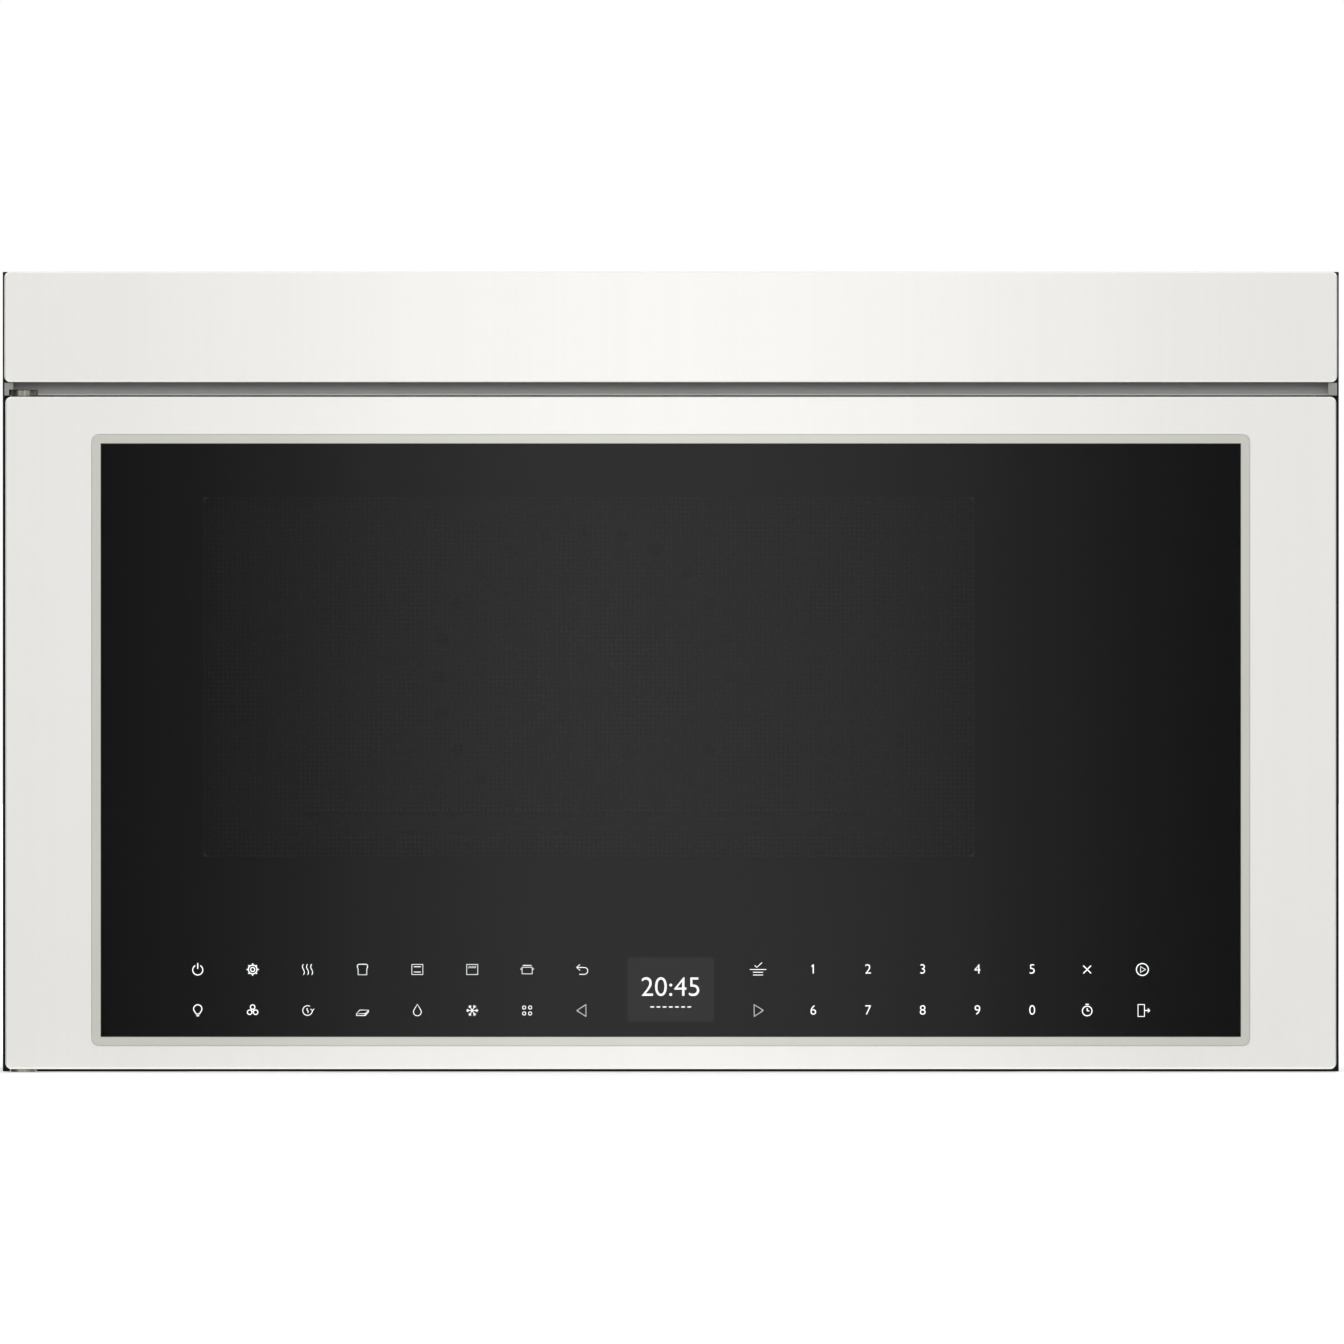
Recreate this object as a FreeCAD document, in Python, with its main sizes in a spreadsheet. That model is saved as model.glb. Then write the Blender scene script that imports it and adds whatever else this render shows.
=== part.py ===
import FreeCAD, Part
import math
import os
import re

import Sketcher

# Over the range microwave oven: a side hung door as wide as the case with touch controls in its
# glass, a plain vent panel over it, and two grease filters and two cooktop lights underneath.
# Millimetres. X runs to the right, Y to the wall and Z up, from the middle of the underside.

doc = FreeCAD.newDocument("OverRangeMicrowave")
sheet_item = doc.addObject("Spreadsheet::Sheet", "Sizes")

DRIVING_SIZES = {
    # case
    "case_wide": 758.8,
    "case_high": 454.0,
    "case_deep": 470.0,
    "steel": 0.8,
    "bend": 2.4,
    "flange": 12.0,
    "emboss": 4.0,
    "emboss_rim": 26.0,
    "emboss_corner": 12.0,
    "hook_slot_x": 170.0,
    "hook_slot_z": 60.0,
    "hook_slot_wide": 70.0,
    "hook_slot_high": 9.0,
    "screw_inset": 12.0,
    "screw_head": 3.6,
    "screw_dome": 1.9,
    "screw_crown": 2.1,
    "screw_round": 2.2,
    "screw_slot_half": 0.4,
    "screw_slot_deep": 1.1,
    "screw_shank": 1.6,
    "screw_long": 7.0,
    "screw_play": 0.1,
    # door
    "door_side_gap": 2.0,
    "door_head_gap": 8.2,
    "door_foot": 1.6,
    "door_thick": 33.5,
    "door_gap": 3.5,
    "skin": 1.6,
    "skin_corner": 3.5,
    "skin_edge": 1.4,
    "window_side": 48.8,
    "window_head": 21.3,
    "window_foot": 14.6,
    "window_corner": 4.5,
    "trim_face": 5.2,
    "trim_lip": 1.0,
    "trim_deep": 8.0,
    "trim_step": 0.2,
    "trim_bevel": 0.7,
    "glass_cover": 3.9,
    "glass_thick": 4.0,
    "slip": 0.15,
    "choke_deep": 18.0,
    "choke_out": 14.0,
    "choke_back": 2.0,
    "view_side": 21.5,
    "view_edge": 4.0,
    "view_shift": 3.5,
    "screen_thick": 0.5,
    "screen_lap": 6.0,
    "inner_glass_thick": 2.2,
    "inner_glass_lap": 9.0,
    "liner_thick": 1.2,
    "board_side": 28.6,
    "board_high": 60.0,
    "board_foot": 23.0,
    "board_thick": 1.6,
    "display_wide": 49.1,
    "display_high": 36.4,
    "display_foot": 28.5,
    "display_deep": 7.0,
    # hinge and latch
    "hinge_in": 10.0,
    "hinge_back": 10.0,
    "pin_round": 3.0,
    "pin_play": 0.08,
    "pin_hole": 4.2,
    "pin_reach": 10.0,
    "arm_half": 7.5,
    "arm_thick": 3.0,
    "arm_clear": 0.5,
    "block_half": 6.0,
    "block_high": 11.0,
    "latch_in": 35.4,
    "latch_low": 140.0,
    "latch_pitch": 160.0,
    "latch_end": 18.0,
    "latch_bar": 9.0,
    "latch_play": 0.3,
    "hook_thick": 6.0,
    "hook_high": 8.0,
    "hook_reach": 20.0,
    "hook_drop": 5.0,
    "hook_bite": 0.9,
    "hook_slope": 3.0,
    "hook_clear": 0.8,
    "latch_slot_high": 18.0,
    "latch_slot_wide": 11.0,
    "guide_rib": 2.0,
    "guide_rib_long": 24.0,
    "bracket_half": 15.0,
    "bracket_wall": 2.0,
    "bracket_over": 30.0,
    "switch_wide": 10.0,
    "switch_deep": 15.0,
    "switch_high": 27.0,
    "plunger_round": 1.5,
    "plunger_long": 8.0,
    "plunger_out": 2.4,
    # vent panel, deflector and air deck
    "fascia_side_gap": 1.4,
    "fascia_high": 62.8,
    "fascia_lip": 11.0,
    "deflector_clear": 0.8,
    "deflector_high": 12.2,
    "deflector_front": 17.0,
    "deflector_crest": 31.0,
    "deflector_edge": 0.8,
    "cheek_wide": 5.0,
    "cheek_front": 7.0,
    "mouth_deep": 75.0,
    "charcoal_wide": 318.0,
    "charcoal_room": 14.8,
    "charcoal_thick": 14.0,
    "charcoal_x": 170.0,
    "charcoal_back": 14.0,
    "charcoal_rim": 6.0,
    "charcoal_sink": 2.0,
    "seat": 0.3,
    # oven cavity
    "left_room": 89.4,
    "blower_bay": 124.0,
    "rear_room": 78.6,
    "bay_room": 189.4,
    "cavity_foot": 118.0,
    "mouth_corner": 8.0,
    "wall": 1.0,
    "rail_high": 4.0,
    "rail_out": 6.0,
    "rail_long": 250.0,
    "rail_up": 62.0,
    "lamp_right": 70.0,
    "lamp_front": 115.0,
    "lamp_wide": 44.0,
    "lamp_deep": 34.0,
    "lamp_high": 26.0,
    "lamp_ring": 11.0,
    "lamp_hole": 2.2,
    "lamp_holes": 8,
    # convection unit
    "inlet_in": 16.0,
    "inlet_gap": 16.0,
    "inlet_slot": 5.0,
    "inlet_slots": 16,
    "outlet_wide": 20.0,
    "outlet_rim": 9.0,
    "outlet_slot": 6.0,
    "outlet_slots": 24,
    "housing_room": 7.0,
    "housing_deep": 38.0,
    "housing_flange": 6.0,
    "heater_room": 15.0,
    "heater_tube": 3.3,
    "heater_gap": 12.0,
    "heater_leg": 2.6,
    "heater_lean": 30.0,
    "rotor_room": 29.0,
    "rotor_blades": 10,
    "rotor_blade": 1.2,
    "rotor_bow": 60.0,
    "rotor_hub": 12.0,
    "rotor_gap": 9.0,
    "rotor_deep": 18.0,
    "spindle": 3.0,
    "spindle_hole": 5.0,
    "motor_round": 30.0,
    "motor_deep": 32.0,
    "motor_ear": 42.0,
    # turntable
    "tray_gap": 12.0,
    "tray_slope": 16.0,
    "tray_thick": 5.0,
    "tray_rim": 12.0,
    "tray_lip": 4.0,
    "wheel_round": 8.0,
    "wheel_wide": 8.0,
    "wheel_in": 50.0,
    "axle_round": 2.0,
    "axle_play": 0.1,
    "axle_collar": 3.4,
    "axle_head": 1.2,
    "roll_clear": 0.3,
    "ring_in": 10.0,
    "ring_wide": 8.0,
    "ring_thick": 4.0,
    "coupler_round": 13.0,
    "coupler_arm": 30.0,
    "coupler_half": 4.5,
    "coupler_thick": 6.0,
    "stem_round": 3.5,
    "stem_deep": 10.0,
    "stem_hole": 6.0,
    "lug_in": 18.0,
    "lug_out": 30.0,
    "lug_half": 5.0,
    "lug_high": 4.0,
    "table_motor_round": 25.0,
    "table_motor_high": 15.0,
    "table_motor_ear": 34.0,
    # ventilation blower
    "blower_back": 90.0,
    "blower_drop": 68.0,
    "impeller_round": 38.0,
    "impeller_eye": 30.0,
    "impeller_long": 72.0,
    "impeller_blades": 20,
    "impeller_ring": 2.0,
    "impeller_hub": 10.0,
    "blade_thick": 1.0,
    "blade_bow": 7.0,
    "blade_sweep": 4.0,
    "blower_shaft": 4.0,
    "blower_motor_round": 34.0,
    "blower_motor_half": 34.0,
    "bracket_deep": 52.0,
    "bracket_under": 27.2,
    "scroll_start": 43.0,
    "scroll_growth": 8.0,
    "scroll_wall": 1.2,
    "scroll_side": 5.0,
    "scroll_eye": 33.0,
    "scroll_in": 40.0,
    # exhaust damper and cord outlet
    "duct_wide": 254.0,
    "duct_deep": 82.6,
    "duct_back": 93.0,
    "collar_high": 14.0,
    "collar_wall": 1.5,
    "collar_flange": 9.0,
    "collar_lip": 5.0,
    "flap_gap": 1.4,
    "flap_thick": 1.0,
    "flap_pin": 1.5,
    "flap_barrel": 2.2,
    "flap_low": 9.0,
    "cord_in": 79.4,
    "cord_back": 45.0,
    "cord_hole": 11.0,
    "cord_bore": 7.0,
    "gland_lip": 3.5,
    "gland_lip_thick": 2.5,
    "gland_long": 9.0,
    "bolt_x": 292.1,
    "bolt_y": -60.0,
    "bolt_hole": 3.5,
    # underside
    "filter_wide": 306.0,
    "filter_deep": 176.0,
    "filter_thick": 8.0,
    "filter_x": 176.0,
    "filter_y": 62.0,
    "filter_edge": 9.0,
    "filter_corner": 3.0,
    "filter_play": 1.0,
    "filter_up": 0.6,
    "mesh_thick": 2.4,
    "ledge": 5.0,
    "light_x": 236.0,
    "light_y": -118.0,
    "light_wide": 78.0,
    "light_deep": 46.0,
    "light_high": 24.0,
    "light_lap": 4.0,
    "lens_thick": 2.0,
    "intake_x": 40.0,
    "intake_pitch": 10.0,
    "intake_wide": 4.0,
    "intake_long": 34.0,
    "intake_slots": 12,
    # electronics bay
    "shelf_z": 60.0,
    "guide_deep": 30.0,
    "guide_wide": 96.0,
    "guide_high": 110.0,
    "guide_y": 10.0,
    "guide_lip": 7.0,
    "port_inset": 12.0,
    "mica_thick": 0.6,
    "mica_lap": 5.0,
    "tube_rise": 16.0,
    "yoke_long": 64.0,
    "yoke_half": 40.0,
    "yoke_plate": 2.0,
    "anode_round": 20.0,
    "antenna_round": 8.0,
    "antenna_long": 18.0,
    "fin_count": 8,
    "fin_thick": 0.8,
    "choke_box": 24.0,
    "choke_box_half": 26.0,
    "inverter_in": 157.4,
    "inverter_wide": 124.0,
    "inverter_back": 155.0,
    "inverter_deep": 110.0,
    "post_high": 6.0,
    "post_round": 3.0,
    "post_inset": 8.0,
    "coil_round": 27.0,
    "coil_high": 38.0,
    "sink_high": 34.0,
    "sink_deep": 30.0,
    "sink_fins": 7,
    "relay_high": 15.0,
    "relay_wide": 18.0,
    "relay_pitch": 27.0,
    "relay_count": 4,
    "control_front": 125.0,
    "control_deep": 150.0,
    "control_z": 92.0,
    "control_high": 90.0,
    "cooler_half": 46.0,
    "cooler_deep": 25.0,
    "cooler_in": 99.4,
    "cooler_front": 123.0,
    "cooler_throat": 43.0,
    "cooler_motor": 16.0,
    "cooler_arm": 5.0,
    "cooler_tip": 40.0,
    "cooler_hub": 14.0,
    "cooler_blades": 7,
    "cooler_pitch": 35.0,
    "cooler_blade_half": 7.0,
    "cooler_foot": 1.5,
}

# Sizes that follow from the ones above, so that neighbours keep their gaps when one size changes.
TIED_SIZES = {
    "door_wide": "case_wide - 2 * door_side_gap",
    "door_high": "case_high - fascia_high - door_head_gap - door_foot",
    "window_wide": "door_wide - 2 * window_side",
    "window_high": "door_foot + door_high - window_head - window_foot",
    "board_wide": "window_wide - 2 * board_side",
    "latch_x": "door_wide / 2 - latch_in",
    "fascia_wide": "case_wide - 2 * fascia_side_gap",
    "charcoal_high": "fascia_high - charcoal_room",
    "cavity_wide": "case_wide - left_room - bay_room",
    "cavity_x": "(left_room - bay_room) / 2",
    "cavity_high": "case_high - blower_bay - cavity_foot",
    "cavity_deep": "case_deep - door_thick - door_gap - 3 * steel - emboss - rear_room",
    "view_wide": "cavity_wide - 2 * view_side",
    "view_high": "cavity_high - 2 * view_edge",
    "view_x": "cavity_x + view_shift",
    "view_z": "cavity_foot + cavity_high / 2",
    "lamp_x": "cavity_x + cavity_wide / 2 - lamp_right",
    "lamp_y": "lamp_front - case_deep / 2",
    "housing_round": "cavity_high / 2 - housing_room",
    "heater_ring": "housing_round - heater_room",
    "rotor_round": "housing_round - rotor_room",
    "outlet_out": "housing_round - outlet_rim",
    "outlet_in": "outlet_out - outlet_wide",
    "inlet_out": "outlet_in - inlet_gap",
    "tray_round": "cavity_deep / 2 - tray_gap",
    "tray_flat": "tray_round - tray_slope",
    "wheel_path": "tray_round - wheel_in",
    "ring_round": "wheel_path - ring_in",
    "blower_y": "case_deep / 2 - blower_back",
    "blower_z": "case_high - blower_drop",
    "deck_back": "blower_y - mouth_deep",
    "duct_y": "case_deep / 2 - duct_back",
    "cord_x": "case_wide / 2 - cord_in",
    "cord_y": "case_deep / 2 - cord_back",
    "tube_z": "view_z + tube_rise",
    "guide_foot": "tube_z - guide_high / 2",
    "inverter_x": "case_wide / 2 - inverter_in",
    "inverter_y": "case_deep / 2 - inverter_back",
    "control_y": "control_front - case_deep / 2",
    "cooler_x": "case_wide / 2 - cooler_in",
    "cooler_y": "cooler_front - case_deep / 2",
}

SIZES = dict(DRIVING_SIZES)
SIZES.update({alias: "=" + text for alias, text in TIED_SIZES.items()})
for row, (alias, amount) in enumerate(SIZES.items(), start=1):
    sheet_item.set("A%d" % row, alias)
    sheet_item.set("B%d" % row, str(amount))
    sheet_item.setAlias("B%d" % row, alias)
doc.recompute()

WORD = re.compile(r"[A-Za-z_][A-Za-z_0-9]*")
TINY = 1e-6

# Places that several pieces share, in the names of the sheet.
FRONT = "(-case_deep / 2)"
BACK = "(case_deep / 2)"
RIM = f"({BACK} - emboss)"
REAR = f"({RIM} - steel)"
INNER = "(case_wide / 2 - steel)"
ROOF = "(case_high - steel)"
DOOR_BACK = f"({FRONT} + door_thick)"
DOOR_TOP = "(door_foot + door_high)"
DOOR_HALF = "(door_wide / 2)"
DOOR_INSIDE = f"({DOOR_HALF} - skin)"
FACE = f"({DOOR_BACK} + door_gap)"
PLATE = f"({FACE} + steel)"
PLATE_BACK = f"({PLATE} + steel)"
DECK = f"({DOOR_TOP} + deflector_clear + deflector_high)"
FASCIA_FOOT = "(case_high - fascia_high)"
WINDOW_TOP = "(window_foot + window_high)"
GLASS_FRONT = f"({FRONT} + trim_step + trim_lip)"
GLASS_BACK = f"({GLASS_FRONT} + glass_thick)"
PANEL = f"({DOOR_BACK} - choke_deep)"
LINER = f"({DOOR_BACK} - liner_thick)"
CAVITY_LEFT = "(cavity_x - cavity_wide / 2)"
CAVITY_RIGHT = "(cavity_x + cavity_wide / 2)"
CAVITY_TOP = "(cavity_foot + cavity_high)"
CAVITY_REAR = f"({PLATE_BACK} + cavity_deep)"
CAVITY_Z = "(cavity_foot + cavity_high / 2)"
HINGE_X = f"(-{DOOR_HALF} + hinge_in)"
HINGE_Y = f"({FRONT} + hinge_back)"
ARM_Z = f"({DOOR_TOP} + arm_clear)"
NOTCH_Z = "(arm_thick + arm_clear)"
HOOK_TIP = f"({DOOR_BACK} + hook_reach)"
LATCH_HIGH = "(latch_low + latch_pitch)"
SWITCH_FACE = f"({HOOK_TIP} + latch_play + plunger_out)"
SWITCH_BACK = f"({SWITCH_FACE} + switch_deep)"
TABLE_Y = f"(({PLATE_BACK} + {CAVITY_REAR}) / 2)"
AXLE_Z = "(cavity_foot + roll_clear + wheel_round)"
TRAY_FOOT = f"({AXLE_Z} + wheel_round + seat)"
BAY = f"({CAVITY_RIGHT} + wall)"
GUIDE_RIGHT = f"({BAY} + guide_deep)"
FAN_Y = f"({CAVITY_REAR} + wall)"
HOUSING_BACK = f"({FAN_Y} + housing_deep)"
FILTER_TOP = "(filter_up + filter_thick)"
LEDGE_Z = f"({FILTER_TOP} + seat)"
MOUTH = "(blower_y - deck_back)"


def named(text):
    """The text with every size name pointing into the sheet."""
    return WORD.sub(lambda m: "Sizes." + m.group() if m.group() in SIZES else m.group(), str(text))


def amount_of(text):
    """What a text in the sheet's names comes to."""
    return float(sheet_item.evalExpression(named(text)))


def bind(item, prop, text):
    item.setExpression(prop, named(text))


def round_disc(u, v, radius):
    return [("disc", u, v, radius)]


def box(u, v):
    (u0, u1), (v0, v1) = u, v
    return [[(u0, v0), (u1, v0), (u1, v1), (u0, v1)]]


def soft_box(u, v, radius):
    """A rectangle with round corners. A corner with a radius is reached by an arc."""
    (u0, u1), (v0, v1) = u, v
    radius = f"({radius})"
    outline = [
        (f"{u0} + {radius}", v0, radius, 1),
        (f"{u1} - {radius}", v0),
        (u1, f"{v0} + {radius}", radius, 1),
        (u1, f"{v1} - {radius}"),
        (f"{u1} - {radius}", v1, radius, 1),
        (f"{u0} + {radius}", v1),
        (u0, f"{v1} - {radius}", radius, 1),
        (u0, f"{v0} + {radius}"),
    ]
    return [outline]


def between(middle, half):
    return (f"{middle} - ({half})", f"{middle} + ({half})")


class Piece:
    """A body built feature by feature, with its sketches on planes across X, Y or Z."""

    ROLES = {"x": "YZ_Plane", "y": "XZ_Plane", "z": "XY_Plane"}

    def __init__(self, name):
        self.name = name
        self.body = doc.addObject("PartDesign::Body", name + "_body")

    def sketch(self, across, level, loops, centre=("0", "0")):
        item = self.body.newObject("Sketcher::SketchObject", self.name + "_sketch")
        plane = next(f for f in self.body.Origin.OriginFeatures if f.Role == self.ROLES[across])
        item.AttachmentSupport = [(plane, "")]
        item.MapMode = "FlatFace"
        bind(item, "AttachmentOffset.Base.x", centre[0])
        bind(item, "AttachmentOffset.Base.y", centre[1])
        bind(item, "AttachmentOffset.Base.z", f"-({level})" if across == "y" else level)
        for loop in loops:
            if loop[0] == "disc":
                self.draw_disc(item, *loop[1:])
            else:
                self.draw_outline(item, loop)
        return item

    def fix(self, item, kind, where, text):
        index = item.addConstraint(Sketcher.Constraint(kind, *where, amount_of(text)))
        bind(item, "Constraints[%d]" % index, text)

    def draw_disc(self, item, u, v, radius):
        centre = FreeCAD.Vector(amount_of(u), amount_of(v), 0)
        circle = item.addGeometry(Part.Circle(centre, FreeCAD.Vector(0, 0, 1), amount_of(radius)))
        self.fix(item, "DistanceX", (-1, 1, circle, 3), u)
        self.fix(item, "DistanceY", (-1, 1, circle, 3), v)
        self.fix(item, "Radius", (circle,), radius)

    def draw_outline(self, item, corners):
        """A closed outline. An arc bends to the left of its way for side 1, to the right for -1."""
        spots = [FreeCAD.Vector(amount_of(c[0]), amount_of(c[1]), 0) for c in corners]
        ends = []
        for i, corner in enumerate(corners):
            start = spots[i - 1]
            finish = spots[i]
            if len(corner) == 2:
                ends.append((item.addGeometry(Part.LineSegment(start, finish)), 1, 2))
                continue
            radius = amount_of(corner[2])
            side = corner[3]
            chord = finish - start
            across = FreeCAD.Vector(-chord.y, chord.x, 0).normalize()
            rise = math.sqrt(max(radius**2 - (chord.Length / 2) ** 2, 0.0))
            centre = (start + finish) * 0.5 + across * rise * side
            circle = Part.Circle(centre, FreeCAD.Vector(0, 0, 1), radius)
            first = math.atan2(start.y - centre.y, start.x - centre.x)
            last = math.atan2(finish.y - centre.y, finish.x - centre.x)
            if side > 0:
                arc = item.addGeometry(Part.ArcOfCircle(circle, first, last))
                ends.append((arc, 1, 2))
            else:
                arc = item.addGeometry(Part.ArcOfCircle(circle, last, first))
                ends.append((arc, 2, 1))
            self.fix(item, "Radius", (arc,), corner[2])
        for i, (edge, begin, end) in enumerate(ends):
            following = ends[(i + 1) % len(ends)]
            item.addConstraint(Sketcher.Constraint("Coincident", edge, end, following[0], following[1]))
            self.fix(item, "DistanceX", (-1, 1, edge, end), corners[i][0])
            self.fix(item, "DistanceY", (-1, 1, edge, end), corners[i][1])

    def extrude(self, kind, across, low, high, loops, centre):
        level = low if (kind == "Pad") == (across != "y") else high
        feature = self.body.newObject("PartDesign::" + kind, self.name + "_" + kind.lower())
        feature.Profile = self.sketch(across, level, loops, centre)
        bind(feature, "Length", f"{high} - ({low})")
        return feature

    def pad(self, across, low, high, loops, centre=("0", "0")):
        return self.extrude("Pad", across, low, high, loops, centre)

    def pocket(self, across, low, high, loops, centre=("0", "0")):
        return self.extrude("Pocket", across, low, high, loops, centre)

    def revolve(self, axis, centre, outline):
        """A turned form. The outline gives radius and place along Y or Z, or place along X and radius."""
        across, level, origin, line = {
            "x": ("z", centre[1], ("0", centre[0]), "H_Axis"),
            "y": ("z", centre[1], (centre[0], "0"), "V_Axis"),
            "z": ("y", centre[1], (centre[0], "0"), "V_Axis"),
        }[axis]
        feature = self.body.newObject("PartDesign::Revolution", self.name + "_turned")
        feature.Profile = self.sketch(across, level, [outline], origin)
        feature.ReferenceAxis = (feature.Profile[0], [line])
        feature.Angle = 360
        return feature

    def around(self, feature, count):
        """Copies of a feature all round the origin of its own sketch."""
        pattern = self.body.newObject("PartDesign::PolarPattern", self.name + "_round")
        pattern.Originals = [feature]
        pattern.Axis = (feature.Profile[0], ["N_Axis"])
        pattern.Angle = 360
        bind(pattern, "Occurrences", count)
        self.body.Tip = pattern

    def along(self, feature, line, reach, count):
        """Copies of a feature in a row along its sketch's own axis."""
        pattern = self.body.newObject("PartDesign::LinearPattern", self.name + "_row")
        pattern.Originals = [feature]
        pattern.Direction = (feature.Profile[0], [line])
        bind(pattern, "Length", reach)
        bind(pattern, "Occurrences", count)
        self.body.Tip = pattern

    def round_front(self, level, radius):
        """Rounds the outer edge of the face that looks to the front at this level."""
        doc.recompute()
        depth = amount_of(level)
        base = self.body.Tip
        flat = [
            face
            for face in base.Shape.Faces
            if abs(face.BoundBox.YMin - depth) < TINY and abs(face.BoundBox.YMax - depth) < TINY
        ]
        rim = max(flat, key=lambda face: face.BoundBox.DiagonalLength).OuterWire.Edges
        names = [
            "Edge%d" % number
            for number, edge in enumerate(base.Shape.Edges, start=1)
            if any(edge.isSame(other) for other in rim)
        ]
        fillet = self.body.newObject("PartDesign::Fillet", self.name + "_soft_edge")
        fillet.Base = (base, names)
        bind(fillet, "Radius", radius)


AXIS_TURNS = {
    "x": FreeCAD.Rotation(FreeCAD.Vector(0, 1, 0), 90),
    "y": FreeCAD.Rotation(FreeCAD.Vector(1, 0, 0), -90),
    "z": FreeCAD.Rotation(),
}


def place(item, x, y, z):
    bind(item, "Placement.Base.x", x)
    bind(item, "Placement.Base.y", y)
    bind(item, "Placement.Base.z", z)


def block(name, x, y, z):
    item = doc.addObject("Part::Box", name + "_block")
    bind(item, "Length", f"{x[1]} - ({x[0]})")
    bind(item, "Width", f"{y[1]} - ({y[0]})")
    bind(item, "Height", f"{z[1]} - ({z[0]})")
    place(item, x[0], y[0], z[0])
    return item


def rod(name, axis, centre, radius, reach):
    """A round bar along an axis, with its centre in the other two, from reach[0] to reach[1]."""
    item = doc.addObject("Part::Cylinder", name + "_rod")
    item.Placement = FreeCAD.Placement(FreeCAD.Vector(), AXIS_TURNS[axis])
    bind(item, "Radius", radius)
    bind(item, "Height", f"{reach[1]} - ({reach[0]})")
    where = list(centre)
    where.insert("xyz".index(axis), reach[0])
    place(item, *where)
    return item


def shape_of(item):
    return item.body if isinstance(item, Piece) else item


def fuse(name, *items):
    whole = doc.addObject("Part::MultiFuse", name + "_fused")
    whole.Shapes = [shape_of(item) for item in items]
    return whole


def group(name, *items):
    """Separate solids of one kind under one name."""
    several = doc.addObject("Part::Compound", name + "_set")
    several.Links = [shape_of(item) for item in items]
    return several


def cut(name, base, *tools):
    tool = tools[0] if len(tools) == 1 else fuse(name + "_tools", *tools)
    whole = doc.addObject("Part::Cut", name + "_cut")
    whole.Base = shape_of(base)
    whole.Tool = shape_of(tool)
    return whole


NODES = []


def keep(label, item):
    final = shape_of(item)
    final.Label = label
    NODES.append(final)


# ---- the case -------------------------------------------------------------------------------


def filter_hole(side, margin, z):
    """The space over one grease filter, wider than the filter by a margin all round."""
    middle = f"{side} * filter_x"
    x = between(middle, f"filter_wide / 2 + {margin}")
    y = between("filter_y", f"filter_deep / 2 + {margin}")
    return block("filter_hole", x, y, z)


def make_base_panel():
    """The pan under the case, with a ledged well for each filter, light windows and intake slots."""
    pan = Piece("base_panel")
    pan.pad("z", "0", "steel", box((f"-{INNER}", INNER), (PLATE, REAR)))
    slot = soft_box(
        ("0", "intake_wide"),
        ("0", "intake_long"),
        "intake_wide / 2 - slip",
    )
    first = pan.pocket("z", "-steel", "2 * steel", slot, ("intake_x", f"{PLATE_BACK} + flange"))
    pan.along(first, "H_Axis", "intake_pitch * (intake_slots - 1)", "intake_slots")
    lip = block("base_lip", (f"-({INNER} - flange)", f"{INNER} - flange"), (FACE, PLATE), ("0", "flange"))
    wells = [filter_hole(side, "filter_play + steel", ("0", f"{LEDGE_Z} + steel")) for side in (-1, 1)]
    hollows = [filter_hole(side, "filter_play", ("-steel", LEDGE_Z)) for side in (-1, 1)]
    ledges = [filter_hole(side, "-ledge", ("-steel", f"{LEDGE_Z} + 2 * steel")) for side in (-1, 1)]
    windows = [
        block(
            "light_hole",
            between(f"{side} * light_x", "light_wide / 2"),
            between("light_y", "light_deep / 2"),
            ("-steel", "2 * steel"),
        )
        for side in (-1, 1)
    ]
    return cut("base_panel", fuse("base_panel", pan, lip, *wells), *hollows, *ledges, *windows)


def make_side_panel(name, side):
    """One side of the case: a flat sheet whose front edge is bent inwards."""
    outer = f"{side} * case_wide / 2"
    inner = f"{side} * {INNER}"
    panel = Piece(name)
    outline = [
        (outer, RIM),
        (inner, RIM),
        (inner, PLATE),
        (f"{side} * ({INNER} - flange)", PLATE),
        (f"{side} * ({INNER} - flange)", FACE),
        (f"{side} * (case_wide / 2 - bend)", FACE),
        (outer, f"{FACE} + bend", "bend", side),
    ]
    panel.pad("z", "0", "case_high", [outline])
    return panel


SCREW_SPOTS = [(x, z) for x in (-1, 1) for z in (0, 1)] + [(x, z) for x in (0,) for z in (0, 1)]


def screw_place(spot):
    x = f"{spot[0]} * ({INNER} - screw_inset)"
    z = f"screw_inset + {spot[1]} * (case_high - 2 * screw_inset)"
    return x, z


def make_back_panel():
    """The wall side: a raised field inside a screwed rim, with two slots for the wall hooks."""
    rim = (f"-{INNER}", INNER)
    field = (f"-({INNER} - emboss_rim)", f"{INNER} - emboss_rim")
    hollow = (f"-({INNER} - emboss_rim - steel)", f"{INNER} - emboss_rim - steel")
    panel = Piece("back_panel")
    panel.pad("y", REAR, RIM, box(rim, ("0", "case_high")))
    panel.pad("y", RIM, BACK, soft_box(field, ("emboss_rim", "case_high - emboss_rim"), "emboss_corner"))
    inside = ("emboss_rim + steel", "case_high - emboss_rim - steel")
    panel.pocket("y", REAR, f"{BACK} - steel", soft_box(hollow, inside, "emboss_corner - steel"))
    for side in (-1, 1):
        x = between(f"{side} * hook_slot_x", "hook_slot_wide / 2")
        slot = soft_box(x, ("hook_slot_z", "hook_slot_z + hook_slot_high"), "hook_slot_high / 2 - slip")
        panel.pocket("y", f"{REAR}", f"{BACK} + steel", slot)
    for spot in SCREW_SPOTS:
        x, z = screw_place(spot)
        panel.pocket("y", f"{REAR} - steel", f"{BACK}", round_disc(x, z, "screw_shank + screw_play"))
    return panel


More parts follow.
